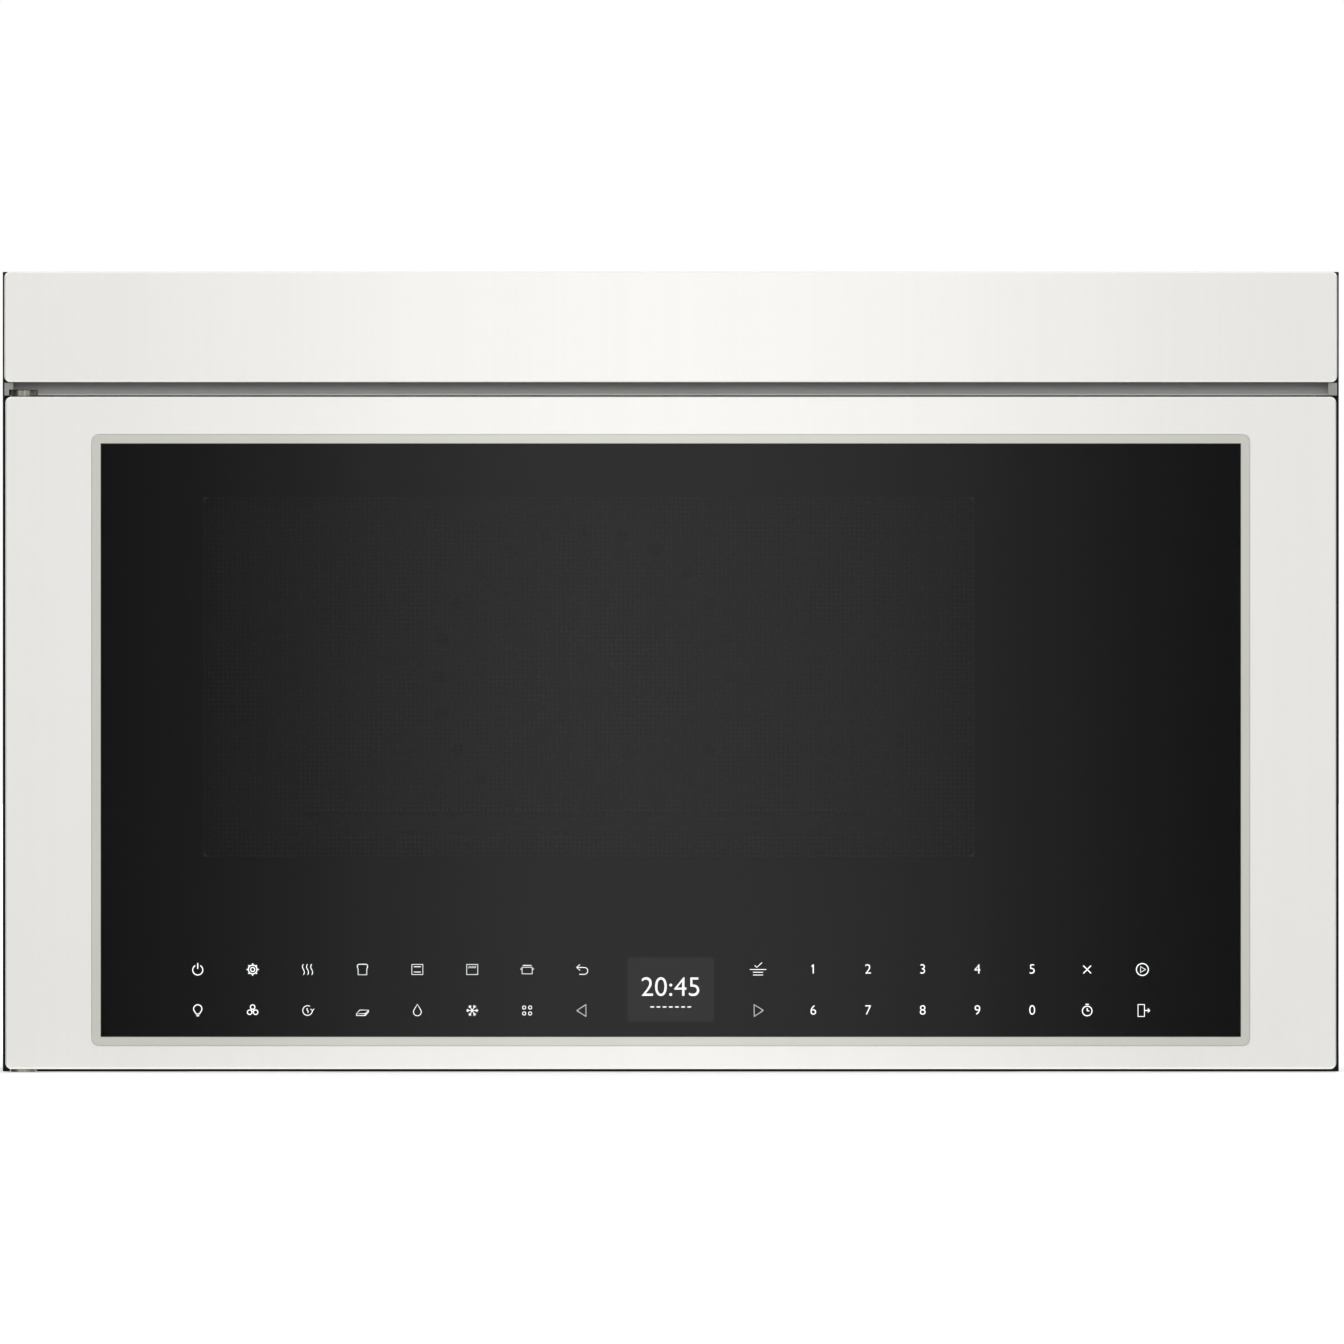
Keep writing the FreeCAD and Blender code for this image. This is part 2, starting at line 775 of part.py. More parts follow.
def make_case_screws():
    """Six cross slotted screws through the rim of the back panel."""
    screws = []
    for spot in SCREW_SPOTS:
        screw = Piece("case_screw")
        tip = f"{RIM} - screw_long"
        crown = f"{RIM} + screw_dome"
        outline = [
            ("0", tip),
            ("screw_shank", f"{tip} + screw_shank"),
            ("screw_shank", RIM),
            ("screw_head", RIM),
            ("screw_crown", crown, "screw_round", -1),
            ("0", crown),
        ]
        x, z = screw_place(spot)
        screw.revolve("y", (x, z), outline)
        for long_x, long_z in (("screw_crown", "screw_slot_half"), ("screw_slot_half", "screw_crown")):
            slot = box(between(x, long_x), between(z, long_z))
            screw.pocket("y", f"{crown} - screw_slot_deep", f"{crown} + steel", slot)
        screws.append(screw)
    return group("case_screws", *screws)


def make_top_panel():
    """The flat top, with the exhaust opening, two cabinet bolt holes and the cord outlet."""
    panel = Piece("top_panel")
    panel.pad("z", ROOF, "case_high", box((f"-{INNER}", INNER), (PLATE, REAR)))
    panel.pad("z", ROOF, "case_high", box(between("0", f"{INNER} - flange"), (FACE, f"{PLATE} + flange")))
    duct = box(between("0", "duct_wide / 2"), between("duct_y", "duct_deep / 2"))
    holes = (
        duct
        + round_disc("-bolt_x", "bolt_y", "bolt_hole")
        + round_disc("bolt_x", "bolt_y", "bolt_hole")
        + round_disc("cord_x", "cord_y", "cord_hole")
    )
    panel.pocket("z", f"{ROOF} - steel", "case_high + steel", holes)
    return panel


def make_vent_fascia():
    """The plain panel over the door: a pan with a short lip at its foot, so that air can leave."""
    half = "fascia_wide / 2"
    panel = Piece("vent_fascia")
    outer = soft_box(between("0", half), (FASCIA_FOOT, "case_high"), "skin_corner")
    panel.pad("y", FRONT, FACE, outer)
    panel.round_front(FRONT, "skin_edge")
    inside = between("0", f"{half} - skin")
    hollow = soft_box(inside, (f"{FASCIA_FOOT} + skin", "case_high - skin"), "skin_corner - skin")
    panel.pocket("y", f"{FRONT} + skin", f"{FACE} + steel", hollow)
    slot = box(inside, (f"{FASCIA_FOOT} - skin", f"{FASCIA_FOOT} + 3 * skin"))
    panel.pocket("y", f"{FRONT} + fascia_lip", f"{FACE} + steel", slot)
    return panel


def make_exhaust_deflector():
    """The moulding in the gap over the door, sloped so that it turns the air forwards."""
    foot = f"{DOOR_TOP} + deflector_clear"
    half = "fascia_wide / 2"
    bar = Piece("exhaust_deflector")
    outline = [
        (FACE, foot),
        (FACE, DECK),
        (f"{FRONT} + deflector_crest", DECK),
        (f"{FRONT} + deflector_front", f"{foot} + deflector_edge"),
        (f"{FRONT} + deflector_front", foot),
    ]
    inside = f"({half} - skin - slip)"
    bar.pad("x", f"-{inside}", inside, [outline])
    ends = ((f"-{half}", f"-({half} - cheek_wide)"), (f"{half} - cheek_wide", half))
    cheek_y = (f"{FRONT} + cheek_front", FACE)
    cheeks = [block("deflector_cheek", x, cheek_y, (foot, f"{FASCIA_FOOT} - seat")) for x in ends]
    notch = block(
        "hinge_notch",
        between(HINGE_X, "arm_half + arm_clear"),
        (FRONT, f"{FACE} + steel"),
        (f"{foot} - steel", f"{ARM_Z} + arm_thick + arm_clear"),
    )
    return cut("exhaust_deflector", fuse("exhaust_deflector", bar, *cheeks), notch)


def make_air_deck():
    """The sheet between the oven and the air passage over it."""
    return block("air_deck", (f"-{INNER}", INNER), (PLATE_BACK, "deck_back"), (f"{DECK} - steel", DECK))


def make_charcoal_filters():
    """Two charcoal cassettes that stand on the air deck behind the vent panel."""
    cassettes = []
    for side in (-1, 1):
        x = between(f"{side} * charcoal_x", "charcoal_wide / 2")
        front = f"{PLATE_BACK} + charcoal_back"
        back = f"{front} + charcoal_thick"
        low = f"{DECK} + seat"
        high = f"{low} + charcoal_high"
        cassette = Piece("charcoal_filter")
        cassette.pad("y", front, back, soft_box(x, (low, high), "charcoal_rim / 2"))
        inner = between(f"{side} * charcoal_x", "charcoal_wide / 2 - charcoal_rim")
        field = soft_box(inner, (f"{low} + charcoal_rim", f"{high} - charcoal_rim"), "charcoal_rim / 2")
        cassette.pocket("y", f"{front} - steel", f"{front} + charcoal_sink", field)
        cassettes.append(cassette)
    return group("charcoal_filters", *cassettes)


def make_front_frame():
    """The plate round the cavity mouth, which the door closes on, with the two latch slots."""
    plate = Piece("front_frame")
    plate.pad("y", PLATE, PLATE_BACK, box((f"-{INNER}", INNER), ("steel", DECK)))
    mouth = soft_box((CAVITY_LEFT, CAVITY_RIGHT), ("cavity_foot", CAVITY_TOP), "mouth_corner")
    slots = []
    for foot in ("latch_low", LATCH_HIGH):
        low = f"{foot} - hook_drop - hook_clear"
        slots += box(between("latch_x", "latch_slot_wide / 2"), (low, f"{low} + latch_slot_high"))
    plate.pocket("y", f"{PLATE} - steel", f"{PLATE_BACK} + steel", mouth + slots)
    return plate


# ---- the oven cavity ------------------------------------------------------------------------


def make_cavity_floor():
    plate = Piece("cavity_floor")
    x = (f"{CAVITY_LEFT} - wall", f"{CAVITY_RIGHT} + wall")
    plate.pad("z", "cavity_foot - wall", "cavity_foot", box(x, (PLATE_BACK, f"{CAVITY_REAR} + wall")))
    hole = round_disc("cavity_x", TABLE_Y, "stem_hole")
    plate.pocket("z", "cavity_foot - 2 * wall", "cavity_foot + wall", hole)
    return plate


def make_cavity_ceiling():
    """The ceiling, with a ring of holes under the cavity lamp."""
    plate = Piece("cavity_ceiling")
    x = (f"{CAVITY_LEFT} - wall", f"{CAVITY_RIGHT} + wall")
    plate.pad("z", CAVITY_TOP, f"{CAVITY_TOP} + wall", box(x, (PLATE_BACK, f"{CAVITY_REAR} + wall")))
    low = f"{CAVITY_TOP} - wall"
    high = f"{CAVITY_TOP} + 2 * wall"
    hole = round_disc("lamp_ring", "0", "lamp_hole")
    ring = plate.pocket("z", low, high, hole, ("lamp_x", "lamp_y"))
    plate.around(ring, "lamp_holes")
    return plate


def make_cavity_side(name, side):
    """A side wall with two rails pressed into it for a rack."""
    wall_x = CAVITY_RIGHT if side > 0 else CAVITY_LEFT
    outside = f"{wall_x} + {side} * wall"
    inside = f"{wall_x} - {side} * rail_out"
    x = (wall_x, outside) if side > 0 else (outside, wall_x)
    rail_x = (inside, wall_x) if side > 0 else (wall_x, inside)
    sheet = block(name, x, (PLATE_BACK, CAVITY_REAR), ("cavity_foot", CAVITY_TOP))
    rail_z = "cavity_foot + rail_up"
    rail = block(name, rail_x, between(TABLE_Y, "rail_long / 2"), (rail_z, f"{rail_z} + rail_high"))
    whole = fuse(name, sheet, rail)
    if side < 0:
        return whole
    port = block(
        "feed_port",
        (f"{wall_x} - wall", f"{wall_x} + 2 * wall"),
        between("guide_y", "guide_wide / 2 - port_inset"),
        ("guide_foot + port_inset", "guide_foot + guide_high - port_inset"),
    )
    return cut(name, whole, port)


def make_cavity_rear_wall():
    """The rear wall, with a middle ring of inlet slots and an outer ring of outlet slots."""
    plate = Piece("cavity_rear_wall")
    span = box((CAVITY_LEFT, CAVITY_RIGHT), ("cavity_foot", CAVITY_TOP))
    plate.pad("y", CAVITY_REAR, f"{CAVITY_REAR} + wall", span)
    for ring, count in (("inlet", "inlet_slots"), ("outlet", "outlet_slots")):
        slot = soft_box(
            (f"{ring}_in", f"{ring}_out"),
            (f"-{ring}_slot / 2", f"{ring}_slot / 2"),
            f"{ring}_slot / 2 - slip",
        )
        low = f"{CAVITY_REAR} - wall"
        high = f"{CAVITY_REAR} + 2 * wall"
        first = plate.pocket("y", low, high, slot, ("cavity_x", CAVITY_Z))
        plate.around(first, count)
    return plate


def make_cavity_lamp():
    """The lamp box on the ceiling, over its ring of holes."""
    x = between("lamp_x", "lamp_wide / 2")
    y = between("lamp_y", "lamp_deep / 2")
    foot = f"{CAVITY_TOP} + wall"
    shade = block("cavity_lamp", x, y, (foot, f"{foot} + lamp_high"))
    inside_x = between("lamp_x", "lamp_wide / 2 - wall")
    inside_y = between("lamp_y", "lamp_deep / 2 - wall")
    hollow = block("cavity_lamp", inside_x, inside_y, (f"{foot} - wall", f"{foot} + lamp_high - wall"))
    bulb_z = (f"{foot} + wall", f"{foot} + lamp_high")
    bulb = rod("cavity_lamp", "z", ("lamp_x", "lamp_y"), "lamp_ring / 2", bulb_z)
    return fuse("cavity_lamp", cut("cavity_lamp", shade, hollow), bulb)


# ---- the convection unit --------------------------------------------------------------------


def make_convection_housing():
    """The drum behind the rear wall, drawn from one sheet with a flange."""
    drum = Piece("convection_housing")
    outline = [
        ("spindle_hole", HOUSING_BACK),
        ("housing_round", HOUSING_BACK),
        ("housing_round", f"{FAN_Y} + wall"),
        ("housing_round + housing_flange", f"{FAN_Y} + wall"),
        ("housing_round + housing_flange", FAN_Y),
        ("housing_round - wall", FAN_Y),
        ("housing_round - wall", f"{HOUSING_BACK} - wall"),
        ("spindle_hole", f"{HOUSING_BACK} - wall"),
    ]
    drum.revolve("y", ("cavity_x", CAVITY_Z), outline)
    return drum


def make_convection_heater():
    """A ring heater round the fan, on two thinner legs that stand on the back of the drum."""
    ring = doc.addObject("Part::Torus", "heater_ring_part")
    ring.Placement = FreeCAD.Placement(FreeCAD.Vector(), AXIS_TURNS["y"])
    ring_y = f"{FAN_Y} + heater_gap"
    bind(ring, "Radius1", "heater_ring")
    bind(ring, "Radius2", "heater_tube")
    place(ring, "cavity_x", ring_y, CAVITY_Z)
    legs = [
        rod(
            "heater_leg",
            "y",
            (
                f"cavity_x + {side} * heater_ring * sin(heater_lean)",
                f"{CAVITY_Z} - heater_ring * cos(heater_lean)",
            ),
            "heater_leg",
            (ring_y, f"{HOUSING_BACK} - wall"),
        )
        for side in (-1, 1)
    ]
    return fuse("convection_heater", ring, *legs)


def make_convection_motor():
    """The fan motor on the back of the drum, with a bore for the spindle."""
    y = (HOUSING_BACK, f"{HOUSING_BACK} + motor_deep")
    centre = ("cavity_x", CAVITY_Z)
    can = rod("convection_motor", "y", centre, "motor_round", y)
    ear = block(
        "convection_motor",
        between("cavity_x", "motor_ear"),
        (HOUSING_BACK, f"{HOUSING_BACK} + steel"),
        between(CAVITY_Z, "motor_round / 3"),
    )
    bore_y = (f"{HOUSING_BACK} - wall", f"{y[1]} + wall")
    bore = rod("convection_motor", "y", centre, "spindle + pin_play", bore_y)
    return cut("convection_motor", fuse("convection_motor", can, ear), bore)


def make_convection_fan():
    """A disc with bowed blades on its front face and a hub on the motor's spindle."""
    front = f"{FAN_Y} + rotor_gap"
    back = f"{front} + rotor_deep"
    fan = Piece("convection_fan")
    centre = ("cavity_x", CAVITY_Z)
    fan.pad("y", f"{back} - wall", back, round_disc("0", "0", "rotor_round"), centre)
    fan.pad("y", front, back, round_disc("0", "0", "rotor_hub"), centre)
    blade = [
        ("rotor_hub - rotor_blade", "-rotor_blade / 2"),
        ("rotor_round - rotor_blade", "-rotor_blade / 2", "rotor_bow", 1),
        ("rotor_round - rotor_blade", "rotor_blade / 2"),
        ("rotor_hub - rotor_blade", "rotor_blade / 2", "rotor_bow - rotor_blade", -1),
    ]
    first = fan.pad("y", front, back, [blade], centre)
    fan.around(first, "rotor_blades")
    tail = f"{HOUSING_BACK} + motor_deep - motor_deep / 4"
    return fuse("convection_fan", fan, rod("convection_fan", "y", centre, "spindle", (front, tail)))


# ---- the turntable --------------------------------------------------------------------------

TABLE = ("cavity_x", TABLE_Y)
THIRDS = (90, 210, 330)


def make_turntable_motor():
    """A flat gear motor under the cavity floor, with a bore for the drive stem."""
    z = ("cavity_foot - wall - table_motor_high", "cavity_foot - wall")
    can = rod("turntable_motor", "z", TABLE, "table_motor_round", z)
    ear_z = ("cavity_foot - 2 * wall", "cavity_foot - wall")
    ear_x = between("cavity_x", "table_motor_ear")
    ear = block("turntable_motor", ear_x, between(TABLE_Y, "stem_hole"), ear_z)
    bore_z = ("cavity_foot - wall - table_motor_high - wall", "cavity_foot")
    bore = rod("turntable_motor", "z", TABLE, "stem_round + pin_play", bore_z)
    return cut("turntable_motor", fuse("turntable_motor", can, ear), bore)


def spoke(name, angle, reach, half, z):
    """A bar that points away from the turntable's axis at an angle."""
    item = doc.addObject("Part::Box", name + "_spoke")
    item.Placement = FreeCAD.Placement(FreeCAD.Vector(), FreeCAD.Rotation(FreeCAD.Vector(0, 0, 1), angle))
    bind(item, "Length", f"{reach[1]} - ({reach[0]})")
    bind(item, "Width", f"2 * {half}")
    bind(item, "Height", f"{z[1]} - ({z[0]})")
    x = f"cavity_x + ({reach[0]}) * cos({angle}) + {half} * sin({angle})"
    y = f"{TABLE_Y} + ({reach[0]}) * sin({angle}) - {half} * cos({angle})"
    place(item, x, y, z[0])
    return item


def radial_rod(name, angle, reach, radius):
    """A round bar at axle height that points away from the turntable's axis."""
    item = doc.addObject("Part::Cylinder", name + "_axle")
    way = FreeCAD.Vector(math.cos(math.radians(angle)), math.sin(math.radians(angle)), 0)
    item.Placement = FreeCAD.Placement(FreeCAD.Vector(), FreeCAD.Rotation(FreeCAD.Vector(0, 0, 1), way))
    bind(item, "Radius", radius)
    bind(item, "Height", f"{reach[1]} - ({reach[0]})")
    place(item, f"cavity_x + ({reach[0]}) * cos({angle})", f"{TABLE_Y} + ({reach[0]}) * sin({angle})", AXLE_Z)
    return item


def make_turntable_drive():
    """The stem and its three armed coupler, which turns the tray by the lugs under it."""
    top = f"{TRAY_FOOT} - seat"
    foot = f"{top} - coupler_thick"
    stem_z = ("cavity_foot - wall - stem_deep", foot)
    stem = rod("turntable_drive", "z", TABLE, "stem_round", stem_z)
    hub = rod("turntable_drive", "z", TABLE, "coupler_round", (foot, top))
    z = (foot, top)
    arms = [spoke("turntable_drive", angle, ("0", "coupler_arm"), "coupler_half", z) for angle in THIRDS]
    return fuse("turntable_drive", stem, hub, *arms)


def make_turntable_tray():
    """The glass tray, with a raised rim and three lugs underneath."""
    tray = Piece("turntable_tray")
    inside = f"{TRAY_FOOT} + tray_thick"
    top = f"{TRAY_FOOT} + tray_rim"
    outline = [
        ("0", TRAY_FOOT),
        ("tray_flat", TRAY_FOOT),
        ("tray_round", f"{top} - tray_thick / 2"),
        ("tray_round", top),
        ("tray_round - tray_lip", top),
        ("tray_flat - tray_lip / 2", inside),
        ("0", inside),
    ]
    tray.revolve("z", TABLE, outline)
    z = (f"{TRAY_FOOT} - lug_high", f"{TRAY_FOOT} + tray_thick / 2")
    lugs = [spoke("tray_lug", angle + 60, ("lug_in", "lug_out"), "lug_half", z) for angle in THIRDS]
    return fuse("turntable_tray", tray, *lugs)


def make_roller_ring():
    """The loose ring that carries three wheels on outward axles."""
    z = between(AXLE_Z, "ring_thick / 2")
    outer = rod("roller_ring", "z", TABLE, "ring_round", z)
    inner_z = (f"{z[0]} - wall", f"{z[1]} + wall")
    ring = cut("roller_ring", outer, rod("roller_ring", "z", TABLE, "ring_round - ring_wide", inner_z))
    parts = [ring]
    near = "wheel_path - wheel_wide / 2 - seat"
    far = "wheel_path + wheel_wide / 2 + seat"
    for angle in THIRDS:
        start = "ring_round - ring_wide / 2"
        parts.append(radial_rod("roller_ring", angle, (start, f"{far} + axle_head"), "axle_round"))
        parts.append(radial_rod("roller_ring", angle, (start, near), "axle_collar"))
        parts.append(radial_rod("roller_ring", angle, (far, f"{far} + axle_head"), "axle_collar"))
    return fuse("roller_ring", *parts)


def make_roller_wheel(angle):
    reach = between("wheel_path", "wheel_wide / 2")
    long_reach = between("wheel_path", "wheel_wide")
    wheel = radial_rod("roller_wheel", angle, reach, "wheel_round")
    return cut("roller_wheel", wheel, radial_rod("roller_wheel", angle, long_reach, "axle_round + axle_play"))


# ---- the ventilation blower: the piece of most skill ----------------------------------------

BLOWER = ("blower_y", "blower_z")


def scroll_outline(inset, run_out):
    """The spiral of a blower housing, seen along X, open towards the front at its top."""
    start = f"(scroll_start - {inset})"
    first = f"(scroll_start + scroll_growth / 3 - {inset})"
    second = f"(scroll_start + scroll_growth * 2 / 3 - {inset})"
    last = f"(scroll_start + scroll_growth - {inset})"
    tongue = f"{DECK} - scroll_wall + {inset} - blower_z"
    mouth = f"-({MOUTH} + {run_out})"
    outline = [
        (mouth, tongue),
        (f"-{start}", tongue),
        ("0", f"-{first}", f"{first} + scroll_wall", 1),
        (second, "0", f"({first} + {second}) / 2", 1),
        ("0", last, f"({second} + {last}) / 2", 1),
        (mouth, last),
    ]
    return [outline]


def make_scroll(side):
    """One sheet metal volute, with an air inlet in each of its two flat sides."""
    near = "scroll_in"
    far = "scroll_in + impeller_long + 2 * scroll_side"
    x = (near, far) if side > 0 else (f"-({far})", f"-({near})")
    scroll = Piece("blower_scroll")
    scroll.pad("x", x[0], x[1], scroll_outline("0", "0"), BLOWER)
    hollow = (f"{x[0]} + scroll_wall", f"{x[1]} - scroll_wall")
    scroll.pocket("x", hollow[0], hollow[1], scroll_outline("scroll_wall", "scroll_wall"), BLOWER)
    eye = round_disc("0", "0", "scroll_eye")
    scroll.pocket("x", f"{x[0]} - scroll_wall", f"{x[1]} + scroll_wall", eye, BLOWER)
    return scroll


def make_impeller(side):
    """A squirrel cage: forward curved blades between two rings, carried by a middle disc."""
    middle = f"{side} * (scroll_in + scroll_side + impeller_long / 2)"
    x = between(middle, "impeller_long / 2")
    cage = Piece("impeller")
    disc = round_disc("0", "0", "impeller_round")
    cage.pad("x", *between(middle, "impeller_ring / 2"), disc, BLOWER)
    cage.pad("x", *between(middle, "impeller_ring * 3"), round_disc("0", "0", "impeller_hub"), BLOWER)
    blade = [
        ("impeller_eye", "0"),
        ("impeller_round - blade_thick / 2", "blade_sweep", "blade_bow", 1),
        ("impeller_round - blade_thick / 2", "blade_sweep + blade_thick"),
        ("impeller_eye", "blade_thick", "blade_bow", -1),
    ]
    first = cage.pad("x", x[0], x[1], [blade], BLOWER)
    cage.around(first, "impeller_blades")
    band = round_disc("0", "0", "impeller_round") + round_disc("0", "0", "impeller_eye")
    cage.pad("x", x[0], f"{x[0]} + impeller_ring", band, BLOWER)
    cage.pad("x", f"{x[1]} - impeller_ring", x[1], band, BLOWER)
    return cage


def make_blower_rotor():
    """Both cages on the one shaft that runs through the motor."""
    end = "(scroll_in + scroll_side + impeller_long / 2 + impeller_hub)"
    shaft = rod("blower_rotor", "x", BLOWER, "blower_shaft", (f"-{end}", end))
    return fuse("blower_rotor", shaft, make_impeller(-1), make_impeller(1))


def make_blower_motor():
    """The double shafted motor, on a bracket that stands on the cavity ceiling."""
    can = rod("blower_motor", "x", BLOWER, "blower_motor_round", between("0", "blower_motor_half"))
    bracket = block(
        "blower_motor",
        between("0", "scroll_in"),
        between("blower_y", "bracket_deep / 2"),
        (f"{CAVITY_TOP} + wall", "blower_z - bracket_under"),
    )
    bore = rod("blower_motor", "x", BLOWER, "blower_shaft + pin_play", between("0", "scroll_in"))
    return cut("blower_motor", fuse("blower_motor", can, bracket), bore)


# ---- the exhaust damper and the cord outlet -------------------------------------------------

COLLAR_FOOT = "(case_high - collar_high)"
FLAP_FOOT = "(case_high - flap_low)"
FLAP_AXIS_Y = "(duct_y + duct_deep / 2 - slip - collar_wall - flap_barrel - flap_gap)"


def make_damper_collar():
    """The collar in the exhaust opening, flanged under the top, with pin holes for the flap."""
    half_x = "(duct_wide / 2 - slip)"
    half_y = "(duct_deep / 2 - slip)"
    collar = Piece("damper_collar")
    outer = box(between("0", half_x), between("duct_y", half_y))
    collar.pad("z", COLLAR_FOOT, "case_high", outer)
    flange = box(between("0", f"{half_x} + collar_flange"), between("duct_y", f"{half_y} + collar_flange"))
    collar.pad("z", f"{ROOF} - steel", ROOF, flange)
    inner = box(between("0", f"{half_x} - collar_wall"), between("duct_y", f"{half_y} - collar_wall"))
    collar.pocket("z", f"{COLLAR_FOOT} - steel", "case_high + steel", inner)
    front = f"duct_y - {half_y}"
    rest = block(
        "collar_lip",
        between("0", half_x),
        (front, f"{front} + collar_wall + collar_lip"),
        (f"{FLAP_FOOT} - seat - collar_wall", f"{FLAP_FOOT} - seat"),
    )
    hole = rod(
        "collar_hole",
        "x",
        (FLAP_AXIS_Y, f"{FLAP_FOOT} + flap_thick / 2"),
        "flap_pin + pin_play",
        between("0", "duct_wide / 2 + slip"),
    )
    return cut("damper_collar", fuse("damper_collar", collar, rest), hole)


def make_damper_flap():
    """The flap that the blower's air lifts, on a barrel with a pin at each end."""
    half = "(duct_wide / 2 - slip - collar_wall - flap_gap)"
    leaf_y = ("duct_y - duct_deep / 2 + slip + collar_wall + flap_gap", FLAP_AXIS_Y)
    leaf = block("damper_flap", between("0", half), leaf_y, (FLAP_FOOT, f"{FLAP_FOOT} + flap_thick"))
    centre = (FLAP_AXIS_Y, f"{FLAP_FOOT} + flap_thick / 2")
    barrel = rod("damper_flap", "x", centre, "flap_barrel", between("0", half))
    pins = rod("damper_flap", "x", centre, "flap_pin", between("0", f"{half} + flap_gap + collar_wall / 2"))
    return fuse("damper_flap", leaf, barrel, pins)


def make_cord_gland():
    """A bush in the cord outlet, with its lip under the top."""
    gland = Piece("cord_gland")
    outline = [
        ("cord_bore", "case_high - gland_long"),
        ("cord_hole - slip", "case_high - gland_long"),
        ("cord_hole - slip", f"{ROOF} - gland_lip_thick"),
        ("cord_hole + gland_lip", f"{ROOF} - gland_lip_thick"),
        ("cord_hole + gland_lip", ROOF),
        ("cord_hole - slip", ROOF),
        ("cord_hole - slip", "case_high"),
        ("cord_bore", "case_high"),
    ]
    gland.revolve("z", ("cord_x", "cord_y"), outline)
    return gland


# ---- the underside --------------------------------------------------------------------------


def make_grease_filter(side):
    """An aluminium frame round a slab of pleated mesh, which is sunk into it on both sides."""
    x = between(f"{side} * filter_x", "filter_wide / 2")
    y = between("filter_y", "filter_deep / 2")
    frame = Piece("grease_filter")
    frame.pad("z", "filter_up", FILTER_TOP, soft_box(x, y, "filter_corner"))
    well_x = between(f"{side} * filter_x", "filter_wide / 2 - filter_edge")
    well_y = between("filter_y", "filter_deep / 2 - filter_edge")
    sink = "(filter_thick - mesh_thick) / 2"
    frame.pocket("z", "filter_up - steel", f"filter_up + {sink}", box(well_x, well_y))
    top = frame.body.newObject("PartDesign::Pocket", "mesh_top")
    top.Profile = frame.sketch("z", f"{FILTER_TOP} - {sink}", box(well_x, well_y))
    top.Reversed = True
    bind(top, "Length", f"{sink} + steel")
    return frame


def make_cooktop_lights():
    """Two light units: a lens that fills its window in the pan, under a closed lamp housing."""
    units = []
    for side in (-1, 1):
        middle = f"{side} * light_x"
        plug_x = between(middle, "light_wide / 2 - seat")
        plug_y = between("light_y", "light_deep / 2 - seat")
        plug = block("cooktop_light", plug_x, plug_y, ("seat", "steel"))
        flange_x = between(middle, "light_wide / 2 + light_lap")
        flange_y = between("light_y", "light_deep / 2 + light_lap")
        lens = block("cooktop_light", flange_x, flange_y, ("steel", "steel + lens_thick"))
        box_x = between(middle, "light_wide / 2")
        box_y = between("light_y", "light_deep / 2")
        case = block("cooktop_light", box_x, box_y, ("steel + lens_thick", "steel + light_high"))
        units.append(fuse("cooktop_light", plug, lens, case))
    return group("cooktop_lights", *units)


# ---- the electronics bay --------------------------------------------------------------------


def make_component_shelf():
    """The shelf at the right of the oven that carries the power supply."""
    sheet = block("component_shelf", (BAY, INNER), (PLATE_BACK, REAR), ("shelf_z - steel", "shelf_z"))
    edge_x = (BAY, f"{BAY} + steel")
    edge = block("component_shelf", edge_x, (PLATE_BACK, REAR), ("shelf_z", "shelf_z + flange"))
    return fuse("component_shelf", sheet, edge)


def make_waveguide():
    """The duct that leads from the magnetron to the port in the cavity wall."""
    y = between("guide_y", "guide_wide / 2")
    z = ("guide_foot", "guide_foot + guide_high")
    shell = block("waveguide", (BAY, GUIDE_RIGHT), y, z)
    inside_y = between("guide_y", "guide_wide / 2 - wall")
    inside_z = ("guide_foot + wall", "guide_foot + guide_high - wall")
    hollow = block("waveguide", (f"{BAY} - wall", f"{GUIDE_RIGHT} - wall"), inside_y, inside_z)
    lip_y = between("guide_y", "guide_wide / 2 + guide_lip")
    lip_z = ("guide_foot - guide_lip", "guide_foot + guide_high + guide_lip")
    lip = block("waveguide", (BAY, f"{BAY} + wall"), lip_y, lip_z)
    hole_x = (f"{GUIDE_RIGHT} - 2 * wall", f"{GUIDE_RIGHT} + wall")
    hole = rod("waveguide", "x", ("guide_y", "tube_z"), "antenna_round + seat", hole_x)
    return cut("waveguide", fuse("waveguide", shell, lip), hollow, hole)


def make_waveguide_cover():
    """The mica sheet over the port, on the inside of the cavity wall."""
    y = between("guide_y", "guide_wide / 2 - port_inset + mica_lap")
    z = ("guide_foot + port_inset - mica_lap", "guide_foot + guide_high - port_inset + mica_lap")
    return block("waveguide_cover", (f"{CAVITY_RIGHT} - mica_thick", CAVITY_RIGHT), y, z)


